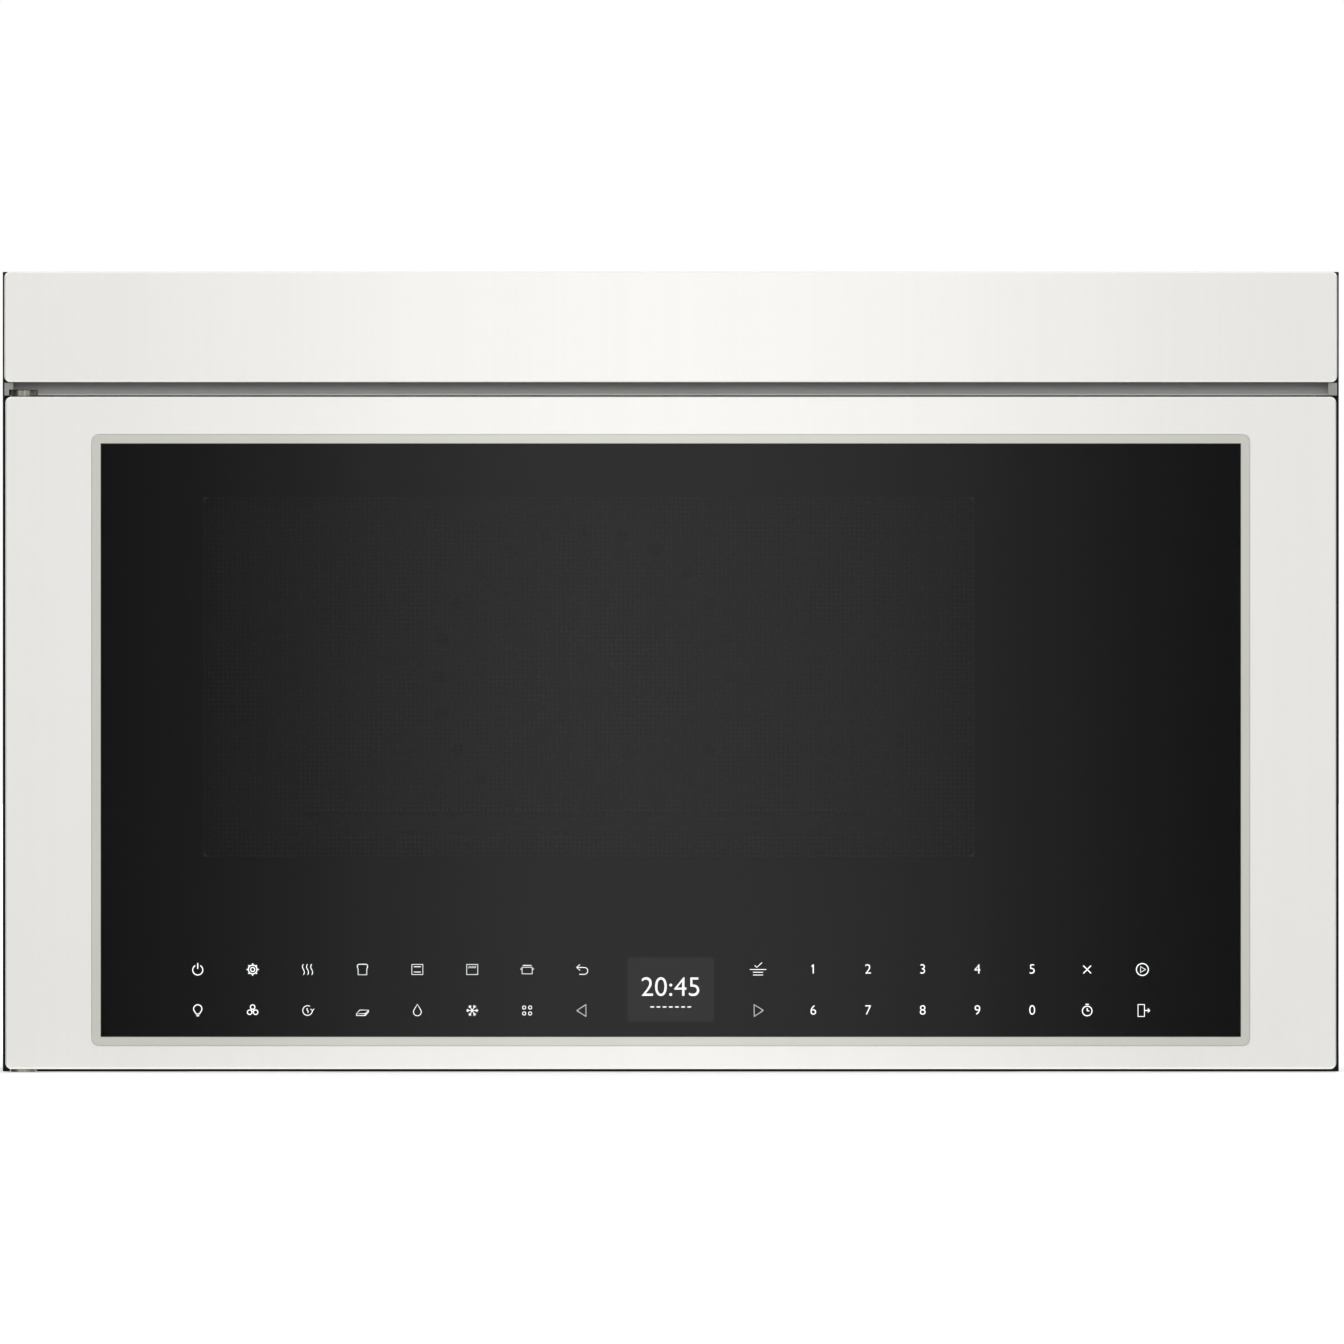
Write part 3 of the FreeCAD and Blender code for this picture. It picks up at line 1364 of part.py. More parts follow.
def make_magnetron():
    """The tube in its yoke, with a stack of cooling fins, the antenna and the filter box."""
    end = f"({GUIDE_RIGHT} + yoke_long)"
    y = between("guide_y", "yoke_half")
    z = between("tube_z", "yoke_half")
    yoke = block("magnetron", (GUIDE_RIGHT, end), y, z)
    hollow_x = (f"{GUIDE_RIGHT} + yoke_plate", f"{end} - yoke_plate")
    hollow_y = between("guide_y", "yoke_half + yoke_plate")
    hollow = block("magnetron", hollow_x, hollow_y, between("tube_z", "yoke_half - yoke_plate"))
    centre = ("guide_y", "tube_z")
    anode = rod("magnetron", "x", centre, "anode_round", hollow_x)
    antenna_x = (f"{GUIDE_RIGHT} - antenna_long", f"{GUIDE_RIGHT} + yoke_plate")
    antenna = rod("magnetron", "x", centre, "antenna_round", antenna_x)
    parts = [cut("magnetron", yoke, hollow), anode, antenna]
    for number in range(1, int(amount_of("fin_count")) + 1):
        fin_x = f"{hollow_x[0]} + {number} * (yoke_long - 2 * yoke_plate) / (fin_count + 1)"
        fin_y = between("guide_y", "yoke_half - yoke_plate")
        parts.append(block("magnetron_fin", (fin_x, f"{fin_x} + fin_thick"), fin_y, z))
    box_y = between("guide_y", "choke_box_half")
    box_z = between("tube_z", "choke_box_half")
    parts.append(block("magnetron", (end, f"{end} + choke_box"), box_y, box_z))
    return fuse("magnetron", *parts)


def posts(name, x, y, z):
    """Four board posts, in from the corners of a board."""
    across = (f"{x[0]} + post_inset", f"{x[1]} - post_inset")
    along = (f"{y[0]} + post_inset", f"{y[1]} - post_inset")
    return [rod(name, "z", (u, v), "post_round", z) for u in across for v in along]


def make_inverter_unit():
    """The high voltage supply: a board on posts, with its wound transformer and a finned heat sink."""
    x = ("inverter_x", "inverter_x + inverter_wide")
    y = ("inverter_y", "inverter_y + inverter_deep")
    foot = "(shelf_z + post_high)"
    top = f"({foot} + board_thick)"
    board = block("inverter_unit", x, y, (foot, top))
    parts = [board] + posts("inverter_unit", x, y, ("shelf_z", foot))
    coil = ("inverter_x + inverter_wide / 3", "inverter_y + inverter_deep - coil_round - post_inset")
    parts.append(rod("inverter_unit", "z", coil, "coil_round", (top, f"{top} + coil_high")))
    parts.append(rod("inverter_unit", "z", coil, "coil_round / 2", (top, f"{top} + coil_high + post_high")))
    for number in range(int(amount_of("sink_fins"))):
        fin_x = f"inverter_x + post_inset + {number} * (inverter_wide - 2 * post_inset) / sink_fins"
        sink_y = ("inverter_y + post_inset", "inverter_y + post_inset + sink_deep")
        parts.append(block("sink_fin", (fin_x, f"{fin_x} + yoke_plate"), sink_y, (top, f"{top} + sink_high")))
    spread = ("inverter_x + post_inset", "inverter_x + inverter_wide - post_inset")
    parts.append(block("sink_base", spread, sink_y, (top, f"{top} + yoke_plate")))
    return fuse("inverter_unit", *parts)


def make_power_board():
    """The relay board, upright on posts against the right side of the case."""
    z = ("control_z", "control_z + control_high")
    y = ("control_y", "control_y + control_deep")
    right = f"({INNER} - post_high)"
    left = f"({right} - board_thick)"
    parts = [block("power_board", (left, right), y, z)]
    for spot_y in ("control_y + post_inset", "control_y + control_deep - post_inset"):
        for spot_z in ("control_z + post_inset", "control_z + control_high - post_inset"):
            parts.append(rod("power_board", "x", (spot_y, spot_z), "post_round", (right, INNER)))
    for number in range(int(amount_of("relay_count"))):
        relay_y = f"control_y + 2 * post_inset + {number} * relay_pitch"
        relay_z = between("control_z + control_high / 2", "relay_wide / 2")
        relay = block("relay", (f"{left} - relay_high", left), (relay_y, f"{relay_y} + relay_wide"), relay_z)
        parts.append(relay)
    return fuse("power_board", *parts)


COOLER = ("cooler_x", "tube_z")


def make_cooling_fan_frame():
    """The square frame of the fan that cools the magnetron, with its motor and its foot."""
    y = ("cooler_y", "cooler_y + cooler_deep")
    square = block("cooler", between("cooler_x", "cooler_half"), y, between("tube_z", "cooler_half"))
    throat = rod("cooler", "y", COOLER, "cooler_throat", (f"{y[0]} - wall", f"{y[1]} + wall"))
    rear = (f"{y[1]} - cooler_arm", y[1])
    motor = rod("cooler", "y", COOLER, "cooler_motor", rear)
    arms = [
        block("cooler_arm", between("cooler_x", "cooler_half"), rear, between("tube_z", "cooler_arm / 2")),
        block("cooler_arm", between("cooler_x", "cooler_arm / 2"), rear, between("tube_z", "cooler_half")),
    ]
    foot_z = ("shelf_z", "tube_z - cooler_half")
    foot = block("cooler_foot", between("cooler_x", "cooler_half"), (y[0], f"{y[0]} + cooler_foot"), foot_z)
    toe_z = ("shelf_z", "shelf_z + cooler_foot")
    toe = block("cooler_foot", between("cooler_x", "cooler_half"), y, toe_z)
    bore = rod("cooler", "y", COOLER, "spindle + pin_play", (f"{rear[0]} - wall", f"{rear[1]} + wall"))
    frame = fuse("cooler", cut("cooler", square, throat), motor, *arms, foot, toe)
    return cut("cooling_fan_frame", frame, bore)


def make_cooling_fan():
    """A hub with pitched blades on the fan motor's spindle."""
    front = "cooler_y + seat"
    back = "(cooler_y + cooler_deep - cooler_arm - 2 * seat)"
    hub = rod("cooling_fan", "y", COOLER, "cooler_hub", (front, back))
    spindle = rod("cooling_fan", "y", COOLER, "spindle", (front, "cooler_y + cooler_deep - seat"))
    blades = []
    count = int(amount_of("cooler_blades"))
    pitch = FreeCAD.Rotation(FreeCAD.Vector(1, 0, 0), amount_of("cooler_pitch"))
    for number in range(count):
        blade = doc.addObject("Part::Box", "cooling_blade")
        turn = FreeCAD.Rotation(FreeCAD.Vector(0, 1, 0), -360.0 * number / count)
        blade.Placement = FreeCAD.Placement(FreeCAD.Vector(), turn.multiply(pitch))
        bind(blade, "Length", "cooler_tip - cooler_hub / 2")
        bind(blade, "Width", "2 * cooler_blade_half")
        bind(blade, "Height", "steel")
        angle = f"(360 * {number} / cooler_blades)"
        rise = "(cooler_blade_half * sin(cooler_pitch))"
        run = "(cooler_blade_half * cos(cooler_pitch))"
        x = f"cooler_x + cooler_hub / 2 * cos({angle}) + {rise} * sin({angle})"
        z = f"tube_z + cooler_hub / 2 * sin({angle}) - {rise} * cos({angle})"
        place(blade, x, f"({front} + {back}) / 2 - {run}", z)
        blades.append(blade)
    return fuse("cooling_fan", hub, spindle, *blades)


# ---- the door -------------------------------------------------------------------------------

SKIN_FOOT = "(door_foot + skin)"
SKIN_TOP = f"({DOOR_TOP} - skin)"
PAN_HALF = f"({DOOR_INSIDE} - slip)"
PAN_FOOT = f"({SKIN_FOOT} + slip)"
PAN_TOP = f"({SKIN_TOP} - slip)"
VIEW_X = between("view_x", "view_wide / 2")
VIEW_Z = between("view_z", "view_high / 2")
OPENING_X = between("0", "window_wide / 2")
OPENING_Z = ("window_foot", WINDOW_TOP)


def grown(span, margin):
    return (f"{span[0]} - ({margin})", f"{span[1]} + ({margin})")


def make_door_frame():
    """The door skin: a shallow pan with the window opening, cut away over the lower hinge arm."""
    skin = Piece("door_frame")
    outer = soft_box(between("0", DOOR_HALF), ("door_foot", DOOR_TOP), "skin_corner")
    skin.pad("y", FRONT, DOOR_BACK, outer)
    skin.round_front(FRONT, "skin_edge")
    inner = soft_box(between("0", DOOR_INSIDE), (SKIN_FOOT, SKIN_TOP), "skin_corner - skin")
    skin.pocket("y", f"{FRONT} + skin", f"{DOOR_BACK} + steel", inner)
    window = soft_box(OPENING_X, OPENING_Z, "window_corner")
    skin.pocket("y", f"{FRONT} - steel", f"{FRONT} + 2 * skin", window)
    notch_x = (f"-{DOOR_HALF} - steel", f"{HINGE_X} + arm_half + 2 * arm_clear")
    corner = box(notch_x, (f"{FRONT} + skin", f"{DOOR_BACK} + steel"))
    skin.pocket("z", "door_foot - steel", NOTCH_Z, corner)
    pin = round_disc(HINGE_X, HINGE_Y, "pin_hole")
    skin.pocket("z", f"{SKIN_TOP} - steel", f"{DOOR_TOP} + steel", pin)
    return skin


def make_window_trim():
    """The satin band round the glass: an L section with a bevel beside the glass."""
    trim = Piece("window_trim")
    front = f"{FRONT} + trim_step"
    back = f"{front} + trim_deep"
    outer = soft_box(grown(OPENING_X, "-slip"), grown(OPENING_Z, "-slip"), "window_corner - slip")
    trim.pad("y", front, back, outer)
    lap = "glass_cover - trim_face + slip"
    seat = box(grown(OPENING_X, lap), grown(OPENING_Z, lap))
    trim.pocket("y", GLASS_FRONT, f"{back} + steel", seat)
    inner = box(grown(OPENING_X, "-trim_face"), grown(OPENING_Z, "-trim_face"))
    trim.pocket("y", f"{front} - steel", f"{back} + steel", inner)
    bevel = trim.body.newObject("PartDesign::Pocket", "trim_bevel_cut")
    bevel.Profile = trim.sketch("y", front, inner)
    bind(bevel, "Length", "trim_bevel")
    bevel.TaperAngle = 45
    return trim


def make_door_glass():
    """The outer glass, held by the trim, with the touch controls in its lower part."""
    x = grown(OPENING_X, "glass_cover - trim_face")
    z = grown(OPENING_Z, "glass_cover - trim_face")
    return block("door_glass", x, (GLASS_FRONT, GLASS_BACK), z)


def make_door_inner_panel():
    """The steel pan of the door, with the window opening, the choke's wall and the latch guides."""
    pan = Piece("door_inner_panel")
    outer_x = between("0", PAN_HALF)
    pan.pad("y", PANEL, LINER, soft_box(outer_x, (PAN_FOOT, PAN_TOP), "skin_corner - skin"))
    back = f"{LINER} + steel"
    floor = f"{PANEL} + steel"
    hollow = box(between("0", f"{PAN_HALF} - steel"), (f"{PAN_FOOT} + steel", f"{PAN_TOP} - steel"))
    pan.pocket("y", floor, back, hollow)
    window = soft_box(VIEW_X, VIEW_Z, "window_corner")
    pan.pocket("y", f"{PANEL} - steel", f"{floor} + steel", window)
    choke_x = grown((CAVITY_LEFT, CAVITY_RIGHT), "choke_out")
    choke_z = grown(("cavity_foot", CAVITY_TOP), "choke_out")
    band = box(choke_x, choke_z) + box(grown(choke_x, "-steel"), grown(choke_z, "-steel"))
    pan.pad("y", PANEL, f"{LINER} - choke_back", band)
    parts = [pan]
    for foot in ("latch_low - 2 * guide_rib_long", f"{LATCH_HIGH} - 2 * guide_rib_long"):
        for side in (-1, 1):
            near = "hook_thick / 2 + latch_play"
            far = f"{near} + guide_rib"
            low = near if side > 0 else far
            high = far if side > 0 else near
            x = (f"latch_x + {side} * ({low})", f"latch_x + {side} * ({high})")
            z = (foot, f"{foot} + guide_rib_long")
            parts.append(block("latch_guide", x, (PANEL, f"{LINER} - choke_back"), z))
    return fuse("door_inner_panel", *parts)


def make_door_screen():
    """The punched sheet that is spot welded over the pan's window opening."""
    floor = f"{PANEL} + steel"
    x = grown(VIEW_X, "screen_lap")
    z = grown(VIEW_Z, "screen_lap")
    return block("door_screen", x, (floor, f"{floor} + screen_thick"), z)


def make_inner_glass():
    """The glass on the cavity side, behind the rim of the liner's window."""
    x = grown(VIEW_X, "inner_glass_lap")
    z = grown(VIEW_Z, "inner_glass_lap")
    return block("inner_glass", x, (f"{LINER} - inner_glass_thick", LINER), z)


def make_door_liner():
    """The moulded back of the door, with the window and the two slots for the hooks."""
    liner = Piece("door_liner")
    outline = soft_box(between("0", PAN_HALF), (PAN_FOOT, PAN_TOP), "skin_corner - skin")
    liner.pad("y", LINER, DOOR_BACK, outline)
    slots = []
    for foot in ("latch_low", LATCH_HIGH):
        low = f"{foot} - hook_drop - latch_play"
        x = between("latch_x", "hook_thick / 2 + 2 * latch_play")
        slots += box(x, (low, f"{foot} + hook_high + hook_drop"))
    window = soft_box(VIEW_X, VIEW_Z, "window_corner")
    liner.pocket("y", f"{LINER} - steel", f"{DOOR_BACK} + steel", window + slots)
    return liner


def make_touch_board():
    """The touch sensor board behind the lower part of the glass, cut out round the display."""
    y = (GLASS_BACK, f"{GLASS_BACK} + board_thick")
    board = block("touch_board", between("0", "board_wide / 2"), y, ("board_foot", "board_foot + board_high"))
    hole_y = (f"{GLASS_BACK} - steel", f"{GLASS_BACK} + board_thick + steel")
    hole_z = grown(("display_foot", "display_foot + display_high"), "slip")
    hole = block("touch_board", between("0", "display_wide / 2 + slip"), hole_y, hole_z)
    return cut("touch_board", board, hole)


def make_display_module():
    """The clock display, against the back of the glass."""
    y = (GLASS_BACK, f"{GLASS_BACK} + display_deep")
    z = ("display_foot", "display_foot + display_high")
    return block("display_module", between("0", "display_wide / 2"), y, z)


def make_hinge_blocks():
    """Two nylon blocks in the left corners of the door, which turn on the hinge pins."""
    x = between(HINGE_X, "block_half")
    y = (f"{FRONT} + skin", PANEL)
    blocks = []
    for z in ((NOTCH_Z, f"{NOTCH_Z} + block_high"), (f"{SKIN_TOP} - block_high", SKIN_TOP)):
        base = block("hinge_block", x, y, z)
        bore_z = (f"{z[0]} - wall", f"{z[1]} + wall")
        bore = rod("hinge_block", "z", (HINGE_X, HINGE_Y), "pin_round + pin_play", bore_z)
        blocks.append(cut("hinge_block", base, bore))
    return group("hinge_blocks", *blocks)


def make_hinge_arms():
    """Two steel arms on the front of the case, each with a pin into the door."""
    arms = []
    pins = ((ARM_Z, f"{ARM_Z} - pin_reach", f"{ARM_Z} + arm_thick"), ("0", "0", "arm_thick + pin_reach"))
    centre = (HINGE_X, HINGE_Y)
    for foot, low, high in pins:
        z = (foot, f"{foot} + arm_thick")
        tail = block("hinge_arm", between(HINGE_X, "arm_half"), (HINGE_Y, FACE), z)
        eye = rod("hinge_arm", "z", centre, "arm_half", z)
        arms.append(fuse("hinge_arm", tail, eye, rod("hinge_pin", "z", centre, "pin_round", (low, high))))
    return group("hinge_arms", *arms)


# ---- the latch and its interlocks -----------------------------------------------------------


def make_latch_slide():
    """The bar inside the door with its two hooks, whose noses slope on both sides."""
    near = f"{PANEL} + steel + latch_play"
    bar = f"{near} + latch_bar"
    slide = Piece("latch_slide")
    x = between("latch_x", "hook_thick / 2")
    bar_z = ("latch_low - 3 * latch_end", f"{LATCH_HIGH} + latch_end")
    slide.pad("x", x[0], x[1], box((near, bar), bar_z))
    for foot in ("latch_low", LATCH_HIGH):
        bite = f"{PLATE_BACK} + hook_bite"
        outline = [
            (f"{bar} - wall", foot),
            (bite, foot),
            (f"{bite} + hook_slope / 2", f"{foot} - hook_drop"),
            (f"{HOOK_TIP} - hook_slope", f"{foot} - hook_drop"),
            (HOOK_TIP, f"{foot} - hook_drop / 5"),
            (HOOK_TIP, f"{foot} + hook_high - hook_slope"),
            (f"{HOOK_TIP} - hook_slope", f"{foot} + hook_high"),
            (f"{bar} - wall", f"{foot} + hook_high"),
        ]
        slide.pad("x", x[0], x[1], [outline])
    return slide


def make_interlock_bracket():
    """The channel behind the front plate that carries the two interlock switches."""
    x = between("latch_x", "bracket_half")
    z = ("latch_low - bracket_over", f"{LATCH_HIGH} + bracket_over")
    shell = block("interlock_bracket", x, (PLATE_BACK, f"{SWITCH_BACK} + bracket_wall"), z)
    hollow_x = between("latch_x", "bracket_half - bracket_wall")
    hollow_z = grown(z, "-bracket_wall")
    hollow = block("interlock_bracket", hollow_x, (f"{PLATE_BACK} - wall", SWITCH_BACK), hollow_z)
    return cut("interlock_bracket", shell, hollow)


def make_interlock_switches():
    """Two snap switches, each straight behind a hook."""
    switches = []
    for foot in ("latch_low", LATCH_HIGH):
        z = between(foot, "switch_high / 2")
        base = block("interlock_switch", between("latch_x", "switch_wide / 2"), (SWITCH_FACE, SWITCH_BACK), z)
        bore_y = (f"{SWITCH_FACE} - wall", f"{SWITCH_FACE} + plunger_long")
        bore = rod("interlock_switch", "y", ("latch_x", foot), "plunger_round + pin_play", bore_y)
        switches.append(cut("interlock_switch", base, bore))
    return group("interlock_switches", *switches)


def make_interlock_plungers():
    """The two plungers that the hooks press when the door is shut."""
    start = f"{SWITCH_FACE} - plunger_out"
    plungers = [
        rod("interlock_plunger", "y", ("latch_x", foot), "plunger_round", (start, f"{start} + plunger_long"))
        for foot in ("latch_low", LATCH_HIGH)
    ]
    return group("interlock_plungers", *plungers)


# ---- the assembly ---------------------------------------------------------------------------

keep("base_panel", make_base_panel())
keep("left_side_panel", make_side_panel("left_side_panel", -1))
keep("right_side_panel", make_side_panel("right_side_panel", 1))
keep("back_panel", make_back_panel())
keep("case_screws", make_case_screws())
keep("top_panel", make_top_panel())
keep("front_frame", make_front_frame())
keep("vent_fascia", make_vent_fascia())
keep("exhaust_deflector", make_exhaust_deflector())
keep("air_deck", make_air_deck())
keep("charcoal_filters", make_charcoal_filters())
keep("cavity_floor", make_cavity_floor())
keep("cavity_ceiling", make_cavity_ceiling())
keep("cavity_left_wall", make_cavity_side("cavity_left_wall", -1))
keep("cavity_right_wall", make_cavity_side("cavity_right_wall", 1))
keep("cavity_rear_wall", make_cavity_rear_wall())
keep("cavity_lamp", make_cavity_lamp())
keep("convection_housing", make_convection_housing())
keep("convection_heater", make_convection_heater())
keep("convection_motor", make_convection_motor())
keep("convection_fan", make_convection_fan())
keep("turntable_motor", make_turntable_motor())
keep("turntable_drive", make_turntable_drive())
keep("turntable_tray", make_turntable_tray())
keep("roller_ring", make_roller_ring())
for number, angle in enumerate(THIRDS, start=1):
    keep("roller_wheel_%d" % number, make_roller_wheel(angle))
keep("blower_scrolls", group("blower_scrolls", make_scroll(-1), make_scroll(1)))
keep("blower_motor", make_blower_motor())
keep("blower_rotor", make_blower_rotor())
keep("damper_collar", make_damper_collar())
keep("damper_flap", make_damper_flap())
keep("cord_gland", make_cord_gland())
keep("left_grease_filter", make_grease_filter(-1))
keep("right_grease_filter", make_grease_filter(1))
keep("cooktop_lights", make_cooktop_lights())
keep("component_shelf", make_component_shelf())
keep("waveguide", make_waveguide())
keep("waveguide_cover", make_waveguide_cover())
keep("magnetron", make_magnetron())
keep("inverter_unit", make_inverter_unit())
keep("power_board", make_power_board())
keep("cooling_fan_frame", make_cooling_fan_frame())
keep("cooling_fan", make_cooling_fan())
keep("door_frame", make_door_frame())
keep("window_trim", make_window_trim())
keep("door_glass", make_door_glass())
keep("door_inner_panel", make_door_inner_panel())
keep("door_screen", make_door_screen())
keep("inner_glass", make_inner_glass())
keep("door_liner", make_door_liner())
keep("touch_board", make_touch_board())
keep("display_module", make_display_module())
keep("hinge_blocks", make_hinge_blocks())
keep("hinge_arms", make_hinge_arms())
keep("latch_slide", make_latch_slide())
keep("interlock_bracket", make_interlock_bracket())
keep("interlock_switches", make_interlock_switches())
keep("interlock_plungers", make_interlock_plungers())

doc.recompute()

faults = [item.Name for item in doc.Objects if "Invalid" in item.State or "Error" in item.State]
faults += [node.Label for node in NODES if node.Shape.isNull() or not node.Shape.isValid()]
if faults:
    raise RuntimeError("these did not build: " + ", ".join(faults))

os.makedirs("parts", exist_ok=True)
for node in NODES:
    node.Shape.exportStep(os.path.join("parts", node.Label + ".step"))
print("%d sub-parts written" % len(NODES))
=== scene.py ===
import math

import bmesh
import bpy
from mathutils import Matrix, Vector


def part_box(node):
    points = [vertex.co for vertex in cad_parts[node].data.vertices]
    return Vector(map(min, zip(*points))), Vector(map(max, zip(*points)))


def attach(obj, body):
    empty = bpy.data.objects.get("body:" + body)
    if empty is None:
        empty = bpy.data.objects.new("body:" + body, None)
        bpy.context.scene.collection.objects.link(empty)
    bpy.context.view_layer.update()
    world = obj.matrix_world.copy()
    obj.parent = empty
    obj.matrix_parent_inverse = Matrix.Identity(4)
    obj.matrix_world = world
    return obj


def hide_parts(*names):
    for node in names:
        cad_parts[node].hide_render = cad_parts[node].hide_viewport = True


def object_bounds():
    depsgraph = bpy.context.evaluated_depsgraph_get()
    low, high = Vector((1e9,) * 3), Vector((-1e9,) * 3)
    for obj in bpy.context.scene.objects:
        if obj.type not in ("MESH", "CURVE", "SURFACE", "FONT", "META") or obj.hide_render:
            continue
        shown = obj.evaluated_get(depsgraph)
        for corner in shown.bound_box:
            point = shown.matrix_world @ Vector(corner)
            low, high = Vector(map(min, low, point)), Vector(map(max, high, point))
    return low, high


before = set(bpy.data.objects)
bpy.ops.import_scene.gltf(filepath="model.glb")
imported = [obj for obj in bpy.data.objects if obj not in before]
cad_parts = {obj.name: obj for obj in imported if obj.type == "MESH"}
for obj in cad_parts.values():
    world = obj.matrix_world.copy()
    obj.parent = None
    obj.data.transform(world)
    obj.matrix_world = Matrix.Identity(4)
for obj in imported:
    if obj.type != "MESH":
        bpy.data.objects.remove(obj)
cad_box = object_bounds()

# ---- Base pan and side panels ---------------------------------------------------------------
# The pan underneath and the two sides are folded from 0.8 mm steel, spot welded together and
# powder coated black. The coat has the faint orange peel of all powder.


def screen_colour(red, green, blue):
    """The linear colour of a surface that shows on a screen as these amounts, 0 to 255."""
    parts = [amount / 255 for amount in (red, green, blue)]
    return [c / 12.92 if c <= 0.04045 else ((c + 0.055) / 1.055) ** 2.4 for c in parts] + [1.0]


def new_effect(name, inputs, outputs):
    """A shader node group with named sockets, for an effect that several finishes share."""
    group = bpy.data.node_groups.new(name, "ShaderNodeTree")
    for title, kind, amount in inputs:
        socket = group.interface.new_socket(name=title, in_out="INPUT", socket_type=kind)
        socket.default_value = amount
    for title in outputs:
        group.interface.new_socket(name=title, in_out="OUTPUT", socket_type="NodeSocketFloat")
    given = group.nodes.new("NodeGroupInput").outputs
    result = group.nodes.new("NodeGroupOutput").inputs
    return group, given, result


class Finish:
    """A material on the CAD's own coordinates, with short calls for what varies over it."""

    def __init__(self, name, colour, roughness, metallic=0.0):
        self.material = bpy.data.materials.new(name)
        self.material.use_nodes = True
        self.tree = self.material.node_tree
        self.shader = self.tree.nodes["Principled BSDF"]
        self.shader.inputs["Base Color"].default_value = colour
        self.shader.inputs["Roughness"].default_value = roughness
        self.shader.inputs["Metallic"].default_value = metallic
        self.place = self.tree.nodes.new("ShaderNodeTexCoord").outputs["Object"]

    def node(self, kind, **settings):
        node = self.tree.nodes.new(kind)
        for setting, choice in settings.items():
            setattr(node, setting, choice)
        return node

    def join(self, start, end):
        self.tree.links.new(start, end)

    def texture(self, kind, scale, detail=None, **settings):
        """A texture laid on the object's own coordinates."""
        node = self.node("ShaderNodeTex" + kind, **settings)
        node.inputs["Scale"].default_value = scale
        if detail is not None:
            node.inputs["Detail"].default_value = detail
        self.join(self.place, node.inputs["Vector"])
        return node

    def effect(self, group, **amounts):
        """Places a shared effect, with this finish's own values."""
        node = self.node("ShaderNodeGroup", node_tree=group)
        for title, amount in amounts.items():
            node.inputs[title].default_value = amount
        return node.outputs

    def blend(self, mask, first, second, low=0.0, high=1.0):
        """A colour between two, which turns from the first to the second as the mask rises."""
        reach = self.node("ShaderNodeMapRange", clamp=True)
        reach.inputs["From Min"].default_value = low
        reach.inputs["From Max"].default_value = high
        self.join(mask, reach.inputs["Value"])
        mix = self.node("ShaderNodeMix", data_type="RGBA")
        self.join(reach.outputs["Result"], mix.inputs[0])
        for socket, colour in ((mix.inputs[6], first), (mix.inputs[7], second)):
            if isinstance(colour, (list, tuple)):
                socket.default_value = colour
            else:
                self.join(colour, socket)
        return mix.outputs[2]

    def colour(self, mask, first, second, low=0.0, high=1.0):
        self.join(self.blend(mask, first, second, low, high), self.shader.inputs["Base Color"])
        return self

    def sheen_of(self, mask, low, high, start=0.0, end=1.0):
        """Roughness that varies with a mask."""
        reach = self.node("ShaderNodeMapRange", clamp=True)
        reach.inputs["From Min"].default_value = start
        reach.inputs["From Max"].default_value = end
        reach.inputs["To Min"].default_value = low
        reach.inputs["To Max"].default_value = high
        self.join(mask, reach.inputs["Value"])
        self.join(reach.outputs["Result"], self.shader.inputs["Roughness"])
        return self

    def relief(self, height, depth, strength=1.0):
        """Bumps as deep as this many metres."""
        bump = self.node("ShaderNodeBump")
        bump.inputs["Strength"].default_value = strength
        bump.inputs["Distance"].default_value = depth
        self.join(height, bump.inputs["Height"])
        self.join(bump.outputs["Normal"], self.shader.inputs["Normal"])
        return self

    def position(self):
        """The three coordinates of a point of the object, in metres."""
        split = self.node("ShaderNodeSeparateXYZ")
        self.join(self.place, split.inputs[0])
        return split.outputs

    def sum_of(self, operation, first, second):
        """One step of arithmetic on two values or sockets."""
        node = self.node("ShaderNodeMath", operation=operation)
        for socket, value in zip(node.inputs, (first, second)):
            if isinstance(value, (int, float)):
                socket.default_value = value
            else:
                self.join(value, socket)
        return node.outputs[0]


def dress(finish, *names):
    """Gives CAD nodes their finish."""
    for name in names:
        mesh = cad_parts[name].data
        mesh.materials.clear()
        mesh.materials.append(finish.material)


powder_coat, given, result = new_effect(
    "powder coat", [("Size", "NodeSocketFloat", 500.0)], ["Mottle", "Height"]
)
where = powder_coat.nodes.new("ShaderNodeTexCoord").outputs["Object"]
peel = powder_coat.nodes.new("ShaderNodeTexNoise")
peel.inputs["Detail"].default_value = 1.5
powder_coat.links.new(where, peel.inputs["Vector"])
powder_coat.links.new(given["Size"], peel.inputs["Scale"])
powder_coat.links.new(peel.outputs["Fac"], result["Height"])
cloud = powder_coat.nodes.new("ShaderNodeTexNoise")
cloud.inputs["Scale"].default_value = 14.0
cloud.inputs["Detail"].default_value = 5.0
powder_coat.links.new(where, cloud.inputs["Vector"])
powder_coat.links.new(cloud.outputs["Fac"], result["Mottle"])

black_coat = Finish("black powder coat", screen_colour(22, 22, 23), 0.55)
black_coat.shader.inputs["Specular IOR Level"].default_value = 0.12
coat = black_coat.effect(powder_coat, Size=620.0)
black_coat.colour(coat["Mottle"], screen_colour(21, 21, 22), screen_colour(24, 24, 25), 0.3, 0.7)
black_coat.sheen_of(coat["Mottle"], 0.5, 0.62, 0.3, 0.7)
black_coat.relief(coat["Height"], 0.00018, 0.5)
dress(black_coat, "base_panel", "left_side_panel", "right_side_panel")

# ---- Back panel, top panel and the air deck -------------------------------------------------
# Galvanised sheet, left bare where the wall and the cabinet hide it. The zinc froze in large
# crystals, and each one shines a little differently.

